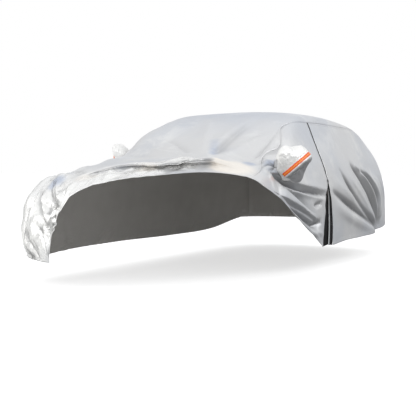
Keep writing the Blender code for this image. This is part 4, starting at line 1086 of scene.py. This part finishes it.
# columns: z, y of the front cloth's edge, y of the rear cloth's edge
ZIP_EDGES = np.array([
    (0.212, 1.248, 1.494), (0.396, 1.275, 1.500), (0.570, 1.318, 1.488), (0.690, 1.385, 1.482),
    (0.775, 1.458, 1.482), (0.900, 1.462, 1.486), (1.020, 1.464, 1.488), (1.150, 1.487, 1.511),
    (1.327, 1.545, 1.569),
])
ZIP_TOP, ZIP_OPEN_BELOW, ZIP_BOTTOM = 1.327, 0.775, 0.212
LEFT_REAR_HEM = np.array([
    (1.494, 0.208), (1.79, 0.226), (2.28, 0.231), (2.80, 0.247), (3.05, 0.285), (3.28, 0.33),
])
# columns: share along the seam, share along the hem; the lines run together at the drawn-in spot of the hem
REAR_FAN = np.array([(0.0, 0.0), (0.12, 0.30), (0.28, 0.53), (0.50, 0.66), (0.75, 0.735), (1.0, 1.0)])
RIGHT_HEM = np.array([
    (-0.69, 0.195), (-0.45, 0.17), (-0.10, 0.20), (0.70, 0.22), (1.70, 0.215), (2.60, 0.235),
    (3.28, 0.33),
])
# columns: side, y and z of the hole's middle, middle of the mouth, half length and half depth of the mouth
POCKETS = {
    "left": (1.0, 0.590, 0.885, (0.945, 0.578, 0.948), 0.168, 0.105),
    "right": (-1.0, 0.800, 0.940, (0.925, 0.850, 1.020), 0.135, 0.090),
}
POCKET_HALF_LENGTH, POCKET_HALF_HEIGHT = 0.125, 0.080
POCKET_CELLS = 6  # coarse cells of the side cloth along and up its hole
FINE = 8  # fine cells in a coarse one
HOLE_CELLS = POCKET_CELLS * FINE
print("hem of the left rear cloth from", LEFT_REAR_HEM[0], "to", LEFT_REAR_HEM[-1])


# %% Grids between four edges
def side_points(points, side):
    """The body's points for points near one side, seen from inside at the same height."""
    inner = points.copy()
    inner[..., 0] = 0.3 * side
    inner[..., 1] = np.clip(points[..., 1], 0.35, 2.4)
    return leave_body(inner, points)


def side_view(y, z, side):
    """The body's points that are seen at y and z from the side."""
    return side_points(np.stack([side * HALF_WIDTH + 0 * y, y, z], -1), side)


def shares(points):
    """How far along its own line each point is, from 0 to 1."""
    length = lengths(points)
    return length / length[-1]


def edge_points(edge, places, side):
    """Points of a free edge given by its side view, at shares 0 to 1 of its length."""
    y, z = np.moveaxis(smooth_line(np.column_stack([shares(edge), edge]), places), -1, 0)
    return side_view(y, z, side)


def patch(top, bottom, front, rear):
    """A sheet between four edges that meet: the two straight blends added, less the one of the corners."""
    s, t = shares(top)[None, :, None], shares(rear)[:, None, None]
    ends = (1 - t) * ((1 - s) * top[0] + s * top[-1]) + t * ((1 - s) * bottom[0] + s * bottom[-1])
    return (1 - t) * top + t * bottom + (1 - s) * front[:, None] + s * rear[:, None] - ends


def round_hole(grid, first_row, first_column, middle, side):
    """Bends a block of cells into an oval for the mirror bag, and eases the cells around it."""
    half = HOLE_CELLS / 2
    rows, columns = np.indices(grid.shape[:2]).astype(float)
    across, down = (columns - first_column - half) / half, (rows - first_row - half) / half
    square, circle = np.maximum(np.abs(across), np.abs(down)), np.hypot(across, down)
    squeeze = np.where(circle > 0, square / np.maximum(circle, 1e-9), 1)
    oval = grid.copy()
    oval[..., 1] = middle[0] + across * squeeze * POCKET_HALF_LENGTH
    oval[..., 2] = middle[1] - down * squeeze * POCKET_HALF_HEIGHT
    shift = side_points(oval, side) - grid
    nearest_row = np.clip(rows, first_row, first_row + 2 * half).astype(int)
    nearest_column = np.clip(columns, first_column, first_column + 2 * half).astype(int)
    ease = (ramp(2.0 - square, 0, 1))[..., None]
    return side_points(grid + shift[nearest_row, nearest_column] * ease, side)


def side_sheet(top, bottom, front, rear, side, hole=None, middle=None):
    """A side cloth's grid on the body, with its four edges kept exactly."""
    grid = side_points(patch(top, bottom, front, rear), side)
    if hole:
        grid = round_hole(grid, *hole, middle, side)
    grid[0], grid[-1], grid[:, 0], grid[:, -1] = top, bottom, front, rear
    return grid


def block_loop(first_row, first_column):
    """Indices round the hole's edge, starting at its rear lower corner."""
    steps = np.arange(HOLE_CELLS)
    low, high = 0 * steps, 0 * steps + HOLE_CELLS
    rows = np.concatenate([high, HOLE_CELLS - steps, low, steps])
    columns = np.concatenate([HOLE_CELLS - steps, low, steps, high])
    return first_row + rows, first_column + columns


print("points round a hole", len(block_loop(0, 0)[0]))

# %% Side cloths
SIDE_ROWS = DOWN * FINE + 1
LEFT_HOLE = (FINE, (AHEAD - 2) * FINE)
RIGHT_HOLE = (FINE, (AHEAD + 1 - DOWN) * FINE)
ZIP_HALF = DOWN // 2 * FINE


def seam_curve(rows, side):
    """The top cloth's seam at coarse rows, on the body: 1 for the left side and -1 for the right."""
    return top_grid(rows, np.array([float(side)]))[0][:, 0]


def finish_side(name, flat, hems, seams=(), gathered=(), hole=None):
    """Hangs, sews and meshes one side cloth. It also gives back the hung grid, for what is sewn to it."""
    hung = hang(flat)
    sewn = sew(hung, hems, seams, gathered)
    skip = (*hole, HOLE_CELLS, HOLE_CELLS) if hole else None
    return cloth_sheet(name, flat, sewn, fold_shade(sewn[0], flat), skip), hung


levels = np.concatenate([
    np.linspace(ZIP_TOP, ZIP_OPEN_BELOW, ZIP_HALF, endpoint=False),
    np.linspace(ZIP_OPEN_BELOW, ZIP_BOTTOM, SIDE_ROWS - ZIP_HALF),
])
zip_ahead, zip_behind = np.moveaxis(smooth_line(ZIP_EDGES, levels), -1, 0)


def make_left_front():
    """Between the seam, the free diagonal edge and the zip; its front edge is a line down from the seam."""
    seam = seam_curve(np.linspace(0, ZIP_ROW, ZIP_ROW * FINE + 1), 1)
    rear = side_view(zip_ahead, levels, 1)
    rear[0] = seam[-1]
    bottom = edge_points(DIAGONAL_EDGE, shares(seam), 1)
    bottom[-1] = rear[-1]
    front = side_points(seam[0] + (bottom[0] - seam[0]) * np.linspace(0, 1, SIDE_ROWS)[:, None], 1)
    front[0], front[-1] = seam[0], bottom[0]
    flat = side_sheet(seam, bottom, front, rear, 1, LEFT_HOLE, POCKETS["left"][1:3])
    return finish_side("left_front_cloth", flat, ("last row", "first column"), hole=LEFT_HOLE)


def make_left_rear():
    """Between the seam, the hem, the zip and the rear corner."""
    seam = seam_curve(np.linspace(ZIP_ROW + 1, TAIL_ROW, 137), 1)
    corner = seam_curve(np.linspace(TAIL_ROW, LAST_ROW, SIDE_ROWS), 1)
    front = side_view(zip_behind, levels, 1)
    front[0] = seam[0]
    bottom = edge_points(LEFT_REAR_HEM, line_value(REAR_FAN, shares(seam)), 1)
    bottom[0], bottom[-1] = front[-1], corner[-1]
    flat = side_sheet(seam, bottom, front, corner, 1)
    return finish_side("left_rear_cloth", flat, ("last row",), ("first row",))


def make_right():
    """Between the seam, the hem, the front corner and the rear corner."""
    seam = seam_curve(np.linspace(DOWN, TAIL_ROW, (TAIL_ROW - DOWN) * FINE + 1), -1)
    front = seam_curve(np.linspace(DOWN, 0, SIDE_ROWS), -1)
    corner = seam_curve(np.linspace(TAIL_ROW, LAST_ROW, SIDE_ROWS), -1)
    bottom = edge_points(RIGHT_HEM, shares(seam), -1)
    bottom[0], bottom[-1] = front[-1], corner[-1]
    flat = side_sheet(seam, bottom, front, corner, -1, RIGHT_HOLE, POCKETS["right"][1:3])
    return finish_side("right_cloth", flat, ("last row",), gathered=("last row",), hole=RIGHT_HOLE)


left_front_cloth, left_front_hung = make_left_front()
left_rear_cloth, left_rear_hung = make_left_rear()
right_cloth, right_hung = make_right()

# %% [markdown]
# ## Mirror bags
# Each door mirror has its own bag of crushed bright cloth, sewn round the oval hole. It is a loft: rings
# leave the hole straight outwards, bend down into the mouth, and close over a rounded end. The reflective
# tape runs round the front half of the mouth.

# %% Bag shape
RIM_SHARE = 0.978  # of the hole's size
MOUTH_WAY = np.array([0.60, 0.30, -0.74])  # out of the bag
MOUTH_LONG = np.array([0.29, 0.81, 0.505])  # along the oval
MOUTH_DEEP = np.array([0.75, -0.52, 0.40])  # across the oval, forwards and outwards
BAG_CROWN, BAG_NOSE, BAG_SHOULDER = 0.080, 0.070, 0.120  # how far the bag swells up, forwards and between
BAG_FLOOR = np.array([0.045, 0.02, 0.01])  # from the hole's lower edge to the mouth's
BAG_END_TILT = 1.1  # how much further its end reaches at the rear of the mouth
STRIPE_WIDTH, STRIPE_LIFT, STRIPE_CROWN = 0.030, 0.001, 0.002
# columns: rings beyond the mouth, share of the mouth's size, distance beyond it
BAG_END = np.array([
    (0.0, 1.0, 0.0), (1.0, 1.0, STRIPE_WIDTH), (2.0, 0.96, 0.041), (3.0, 0.80, 0.053), (4.0, 0.44, 0.061),
    (5.0, 0.03, 0.063),
])
BAG_CREASE, BAG_CREASE_SIZE = 0.008, 0.060


def bag_rings(rim, side, middle, half_length, half_depth, walls, ends):
    """Rings of a mirror bag, worked out as a left one and then mirrored to its side.

    Each line from the hole to the mouth is a cubic with two directions: straight out of the hole, and out of
    the mouth. Beyond the mouth the rings shrink along the bag's axis.
    """
    mirror = np.array([side, 1, 1])
    spoke = (rim - rim.mean(0)) * mirror
    rim = rim.mean(0) * mirror + spoke * RIM_SHARE
    angle = np.arctan2(spoke[:, 2] / POCKET_HALF_HEIGHT, spoke[:, 1] / POCKET_HALF_LENGTH)[:, None]
    upper, lower = np.clip(np.sin(angle), 0, 1), np.clip(-np.sin(angle), 0, 1)
    mouth = middle + half_length * np.cos(angle) * MOUTH_LONG + half_depth * np.sin(angle) * MOUTH_DEEP
    mouth = mouth + lower * (rim + BAG_FLOOR - mouth)
    reach = np.linalg.norm(mouth - rim, axis=-1, keepdims=True)
    scale = half_length / POCKETS["left"][4]
    t = np.linspace(0, 1, walls)[:, None, None]
    start = (1 + 2 * t) * (1 - t) ** 2 * rim + t * (1 - t) ** 2 * reach * np.array([1, 0, 0])
    end = t * t * (3 - 2 * t) * mouth - t * t * (1 - t) * reach * MOUTH_WAY
    ahead = np.clip(-np.cos(angle), 0, 1)
    swell = BAG_CROWN * upper * np.array([0, 0, 1]) + BAG_NOSE * ahead * np.array([0, -1, 0.3])
    swell = swell + BAG_SHOULDER * upper * ahead * np.array([0.2, -0.8, 0.55])
    wall = start + end + np.sin(np.pi * t) * scale * swell
    size, beyond = np.moveaxis(smooth_line(BAG_END, np.linspace(0, 5, ends)[1:]), -1, 0)[:, :, None, None]
    past_tape = np.maximum(beyond - STRIPE_WIDTH, 0)
    beyond = beyond + BAG_END_TILT * past_tape * size * np.clip(np.cos(angle), 0, 1)
    cap = middle + (mouth - middle) * size + MOUTH_WAY * beyond * scale
    return np.concatenate([wall, cap]) * mirror


print("bag end rings", len(BAG_END))


# %% Bag and tape finishes
BAG_BRIGHT, BAG_PAINTED_SHADE = colour(0.88, 0.875, 0.86), colour(0.32, 0.32, 0.33)
TAPE_ORANGE, TAPE_YELLOW = colour(0.84, 0.09, 0.003), colour(0.90, 0.34, 0.03)


def bag_finish():
    """Bright crushed cloth above the tape. Beyond it the bag's end turns down, rougher and more metallic, and
    its dark grey is painted shade.
    """
    finish = Finish("bright_cloth")
    place, metres = finish.places(), finish.cloth_uv()
    beyond = finish.attribute("beyond")
    # Painted shade: the bag's end beyond the tape turns to a dark grey.
    base = finish.mix(beyond, BAG_BRIGHT, BAG_PAINTED_SHADE)
    crumple = fine_facets(finish, place, 30.0) * 0.004 + fine_facets(finish, place, 80.0) * 0.0012
    rough = 0.30 + finish.noise(place, 20.0) * 0.12 + beyond * 0.15
    normal = finish.bump(crumple + weave_height(finish, metres, CLOTH_THREADS) * THREAD_HEIGHT, 1.0)
    return finish.shade(Base_Color=base, Metallic=0.22 + beyond * 0.4, Roughness=rough, Normal=normal)


def tape_finish():
    """Orange tape with a brighter yellow middle line and the fine cells of reflective sheeting."""
    finish = Finish("reflective_tape")
    across = finish.attribute("across")
    middle = 1 - (across - 0.5).math("ABSOLUTE", across - 0.5).step(0.07, 0.16)
    base = finish.mix(middle, TAPE_ORANGE, TAPE_YELLOW)
    sockets = {"Vector": finish.places(), "Scale": 380.0}
    cells = finish.node("ShaderNodeTexVoronoi", {"feature": "DISTANCE_TO_EDGE"}, sockets)
    normal = finish.bump(cells * 0.0012, 1.0)
    finish.shade(Coat_Weight=0.2, Coat_Roughness=0.15)
    return finish.shade(Base_Color=base, Roughness=0.45, Normal=normal)


bright, tape = bag_finish(), tape_finish()
print("finishes", bright.name, tape.name)

# %% Bags and tapes
WALL_RINGS, END_RINGS, TAPE_RINGS = 30, 22, 9
PAINTED_SHADE_RINGS = (WALL_RINGS + 3, WALL_RINGS + 11)  # rings where the painted shade on the bag's end starts and is full
MOUTH_CALM = 0.7  # how much flatter the creases are under the tape


def make_bag(name, rim, pocket):
    """One bag: its rings creased along their normals, joined all round, with a number for the painted shade of
    its end.
    """
    side, _, _, *mouth = pocket
    rings = bag_rings(rim, side, *mouth, WALL_RINGS, END_RINGS)
    count, around = rings.shape[:2]
    normals = np.cross(np.gradient(rings, axis=0), np.roll(rings, -1, 1) - np.roll(rings, 1, 1))
    normals /= np.maximum(np.linalg.norm(normals, axis=-1, keepdims=True), 1e-9)
    normals *= np.sign((normals * (rings - rings.mean((0, 1)))).sum())
    along = np.arange(count)[:, None]
    calm = np.sin(np.pi * np.clip(along / count * 1.1, 0, 1))
    calm = calm * (1 - MOUTH_CALM * ramp(along, WALL_RINGS - 4, WALL_RINGS - 1))
    creased = rings + normals * (BAG_CREASE * calm * facets(rings, BAG_CREASE_SIZE, 41))[..., None]
    column, ring = np.arange(around), along[:-1] * around
    after = np.roll(column, -1)
    faces = np.stack([ring + column, ring + after, ring + around + after, ring + around + column], -1)
    numbers = {"beyond": np.repeat(ramp(np.arange(count), *PAINTED_SHADE_RINGS), around)}
    bag = make_sheet(
        name + "_mirror_bag", creased.reshape(-1, 3), faces.reshape(-1, 4), (bright, felt), CLOTH_THICK,
        rings[0].mean(0), numbers, cloth_metres(creased).reshape(-1, 2), offset=-1.0,
    )
    return bag, rings


def make_stripe(name, rings, side):
    """The tape: a band of two edges over the mouth, lifted off the bag, on its front half only."""
    band_rings = np.array([rings[WALL_RINGS - 1], rings[WALL_RINGS + 3]])
    facing = ((band_rings[0] - band_rings[0].mean(0)) * MOUTH_DEEP * np.array([side, 1, 1])).sum(-1) > 0
    first = np.flatnonzero(facing & ~np.roll(facing, 1))[0]
    edges = np.roll(band_rings, -first, axis=1)[:, : facing.sum()]
    share = np.linspace(0, 1, TAPE_RINGS)[:, None, None]
    grid = edges[0] * (1 - share) + edges[1] * share
    normals = surface_normals(grid)
    normals *= np.sign((normals * (grid - rings.mean((0, 1)))).sum())
    grid = grid + normals * (STRIPE_LIFT + STRIPE_CROWN * np.sin(np.pi * share[..., 0]))[..., None]
    numbers, inner = {"across": share[..., 0]}, rings.mean((0, 1))
    return grid_sheet(name + "_mirror_tape", grid, (tape,), TAPE_THICK, numbers, inner=inner)


bags, stripes = {}, {}
for name, hung, hole in (("left", left_front_hung, LEFT_HOLE), ("right", right_hung, RIGHT_HOLE)):
    bags[name], rings = make_bag(name, hung[block_loop(*hole)], POCKETS[name])
    stripes[name] = make_stripe(name, rings, POCKETS[name][0])

# %% [markdown]
# ## The zip
# The zip joins the two left cloths. It is closed from the roof edge down to half height and open below, where
# each half of its tape is folded back from its edge. A strip of black cloth lies behind the gap, and inside
# the rear tape lies a facing, grey at its free edge, with painted shade where the tape shades it.

# %% Zip
TAPE_WIDTH, FACING_WIDTH = 0.016, 0.045
TAPE_SHARE = 0.35
FACING_SHARE, FACING_START, FACING_LEAST = 0.2, 0.070, 0.002
GUARD_DEPTH, GUARD_DEPTH_SHARE, GUARD_TUCK_SHARE = 0.022, 0.10, 0.05
TAPE_TURN, FACING_TURN = np.array([-0.5, 0.85, 0.0]), np.array([-0.45, -0.89, 0.0])
OPEN_START = 0.02


def woven(name, tone, painted_shade_tone=None, threads=900):
    """Plain matt weave for tapes. A facing's inner part lies in shade, which is painted as a second, dark tone.
    """
    finish = Finish(name)
    base = finish.mix(finish.noise(finish.places(), 60.0), colour(*tone), colour(*[c * 1.3 for c in tone]))
    if painted_shade_tone:
        base = finish.mix(finish.attribute("across").step(0.50, 0.62), colour(*painted_shade_tone), base)
    normal = finish.bump(weave_height(finish, finish.cloth_uv(), threads) * 0.0003, 1.0)
    return finish.shade(Base_Color=base, Roughness=0.85, Specular_IOR_Level=0.1, Normal=normal)


black = woven("zip_tape", (0.012, 0.012, 0.013))
# The facing's grey, and the painted shade of its inner part.
grey = woven("grey_facing", (0.40, 0.41, 0.42), (0.03, 0.03, 0.032))
print("finishes", black.name, grey.name)

# %% Zip strips


def strip(edge, way, width, columns=5):
    """A narrow grid beside an edge: it starts a gap away and runs its width, one value a row, along a way."""
    way = way / np.linalg.norm(way)
    near = edge + way * GAP
    return near[:, None] + way * width[:, None, None] * np.linspace(0, 1, columns)[:, None]


def between(first, last, columns):
    """A grid from one line of points to another, a gap short of both."""
    step = last - first
    gap = GAP / np.linalg.norm(step, axis=-1, keepdims=True)
    share = np.linspace(0, 1, columns + 1)[None, :, None]
    return first[:, None] + step[:, None] * (gap[:, None] + share * (1 - 2 * gap[:, None]))


def zip_sheet(name, grid, finish):
    """A strip's sheet. It carries its own share across, 0 to 1, for the facing's painted shade."""
    return grid_sheet(name, grid, (finish,), TAPE_THICK, {"across": np.linspace(0, 1, grid.shape[1])})


ahead_edge, behind_edge = left_front_hung[:, -1], left_rear_hung[:, 0]
closed_grid = between(ahead_edge[: ZIP_HALF + 1], behind_edge[: ZIP_HALF + 1], 6)
open_ahead, open_behind = ahead_edge[ZIP_HALF:].copy(), behind_edge[ZIP_HALF:].copy()
open_ahead[0] += (open_ahead[1] - open_ahead[0]) * OPEN_START * FINE
open_behind[0] += (open_behind[1] - open_behind[0]) * OPEN_START * FINE
open_width = np.linalg.norm(open_behind - open_ahead, axis=-1)
tape_width = np.minimum(TAPE_WIDTH, TAPE_SHARE * open_width)
front_tape = strip(open_ahead, TAPE_TURN, tape_width)
rear_tape = strip(open_behind, TAPE_TURN * np.array([1, -1, 1]), tape_width)
facing_width = np.clip(FACING_SHARE * (open_width - FACING_START), FACING_LEAST, FACING_WIDTH)
facing_grid = strip(rear_tape[:, -1], FACING_TURN, facing_width, 9)
inward = np.stack([-GUARD_DEPTH_SHARE * open_width, GUARD_TUCK_SHARE * open_width, 0 * open_width], -1)
guard_grid = between(front_tape[:, -1], open_behind + inward - (GUARD_DEPTH, 0, 0), 12)
zip_sheets = {
    "zip_closed": zip_sheet("closed_zip", closed_grid, black),
    "zip_tape_front": zip_sheet("front_zip_tape", front_tape, black),
    "zip_tape_rear": zip_sheet("rear_zip_tape", rear_tape, black),
    "zip_facing": zip_sheet("inner_facing", facing_grid, grey),
    "zip_guard": zip_sheet("black_guard", guard_grid, black),
}

# %% [markdown]
# ## Zip teeth
# The zip's teeth are moulded blocks, 3 mm apart. Two rows mesh along the closed run, and below the slider one
# row follows the free edge of each tape. One small block repeated along the lines, as one mesh, is lighter
# than an array modifier on each line and needs no extra objects.

# %% Zip teeth
TOOTH_PITCH, TOOTH_SIZE = 0.003, np.array([0.0015, 0.0040, 0.0016])  # along, across and out of the tape
TOOTH_CORNERS = np.array(list(np.ndindex(2, 2, 2))) - 0.5
TOOTH_FACES = np.array([(0, 1, 3, 2), (4, 6, 7, 5), (0, 4, 5, 1), (2, 3, 7, 6), (0, 2, 6, 4), (1, 5, 7, 3)])
ROW_OFFSET = 0.0012  # of the closed zip's two rows from its middle


def row_of_teeth(line, across, start):
    """Corners of the teeth along a line of points: evenly spaced, turned along the line and the cloth."""
    length = lengths(line)
    places = np.arange(start, length[-1], TOOTH_PITCH)
    foot, along, side = [
        np.stack([np.interp(places, length, column) for column in values.T], -1)
        for values in (line, np.gradient(line, axis=0), across)
    ]
    along /= np.linalg.norm(along, axis=-1, keepdims=True)
    side /= np.linalg.norm(side, axis=-1, keepdims=True)
    out = np.cross(side, along)
    out *= np.sign((out * (foot - BODY_MIDDLE)).sum(-1, keepdims=True))
    axes = np.stack([along, side, out], 1)
    middle = foot + out * (TAPE_THICK + TOOTH_SIZE[2] / 2)
    return middle[:, None] + (TOOTH_CORNERS * TOOTH_SIZE) @ axes


def make_teeth():
    """Every row of teeth as one mesh of small blocks."""
    wide = closed_grid[:, -1] - closed_grid[:, 0]
    shift = wide / np.linalg.norm(wide, axis=-1, keepdims=True) * ROW_OFFSET
    middle = closed_grid[:, closed_grid.shape[1] // 2]
    rows = [row_of_teeth(middle + shift, wide, 0.0), row_of_teeth(middle - shift, wide, TOOTH_PITCH / 2)]
    rows += [row_of_teeth(half[:, -1], half[:, -1] - half[:, 0], 0.0) for half in (front_tape, rear_tape)]
    blocks = np.concatenate(rows)
    faces = np.arange(len(blocks))[:, None, None] * 8 + TOOTH_FACES
    mesh = bpy.data.meshes.new("zip_teeth")
    mesh.from_pydata((blocks.reshape(-1, 3) - ROOF_POINT).tolist(), [], faces.reshape(-1, 4).tolist())
    mesh.materials.append(moulded.material)
    teeth = bpy.data.objects.new("zip_teeth", mesh)
    cover.objects.link(teeth)
    fix = bmesh.new()
    fix.from_mesh(mesh)
    bmesh.ops.recalc_face_normals(fix, faces=fix.faces)
    fix.to_mesh(mesh)
    fix.free()
    print("teeth", len(blocks))
    return teeth


moulded = Finish("zip_slider")
scuffs = moulded.noise(moulded.places(), 300.0, 4.0)
moulded_black, moulded_grey = colour(0.016, 0.016, 0.018), colour(0.06, 0.06, 0.063)
moulded.shade(Base_Color=moulded.mix(scuffs.step(0.55, 0.75), moulded_black, moulded_grey))
moulded.shade(Roughness=0.32 + scuffs * 0.2, Normal=moulded.bump(scuffs, 0.0003), Coat_Weight=0.3)
zip_teeth = make_teeth()
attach(zip_teeth, "root")
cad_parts["zip_slider"].material_slots[0].material = moulded.material

# %% [markdown]
# Every piece rides on the part's one body and takes the place of its solid. The table also gives each cloth's
# slot and how it is held, and how large it was when it lay flat: the width and length of the cloth it was cut
# from, and the share of that which is cloth. The loop works out the flat area but keeps it nowhere.

# %% Ride and replace
# columns: piece, node it stands for, slot, flat width and length, share of that rectangle which is cloth
SHEETS = (
    (top_cloth, "top_panel", "silver_cloth", (1.90, 6.10), 0.66, "draped"),
    (left_front_cloth, "left_side_front", "silver_cloth", (1.20, 1.95), 0.44, "hung"),
    (left_rear_cloth, "left_side_rear", "silver_cloth", (1.25, 2.00), 0.84, "hung"),
    (right_cloth, "right_side", "silver_cloth", (1.30, 4.40), 0.72, "hung"),
    (bags["left"], "left_mirror_pocket", "bright_cloth", (0.66, 0.46), 0.80, "hung"),
    (bags["right"], "right_mirror_pocket", "bright_cloth", (0.55, 0.39), 0.80, "hung"),
    (stripes["left"], "left_mirror_stripe", "reflective_tape", (0.030, 0.40), 1.0, "stretched"),
    (stripes["right"], "right_mirror_stripe", "reflective_tape", (0.030, 0.33), 1.0, "stretched"),
    (zip_sheets["zip_closed"], "zip_closed", "zip_tape", (0.022, 0.57), 1.0, "hung"),
    (zip_sheets["zip_tape_front"], "zip_tape_front", "zip_tape", (0.016, 0.61), 0.90, "hung"),
    (zip_sheets["zip_tape_rear"], "zip_tape_rear", "zip_tape", (0.016, 0.57), 0.90, "hung"),
    (zip_sheets["zip_facing"], "zip_facing", "grey_facing", (0.045, 0.57), 0.50, "hung"),
    (zip_sheets["zip_guard"], "zip_guard", "zip_tape", (0.26, 0.60), 0.60, "hung"),
)
for piece, node, slot, flat_size, share, held in SHEETS:
    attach(piece, "root")
    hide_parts(node)
    flat_size[0] * flat_size[1] * share

print("sheets", len(SHEETS))
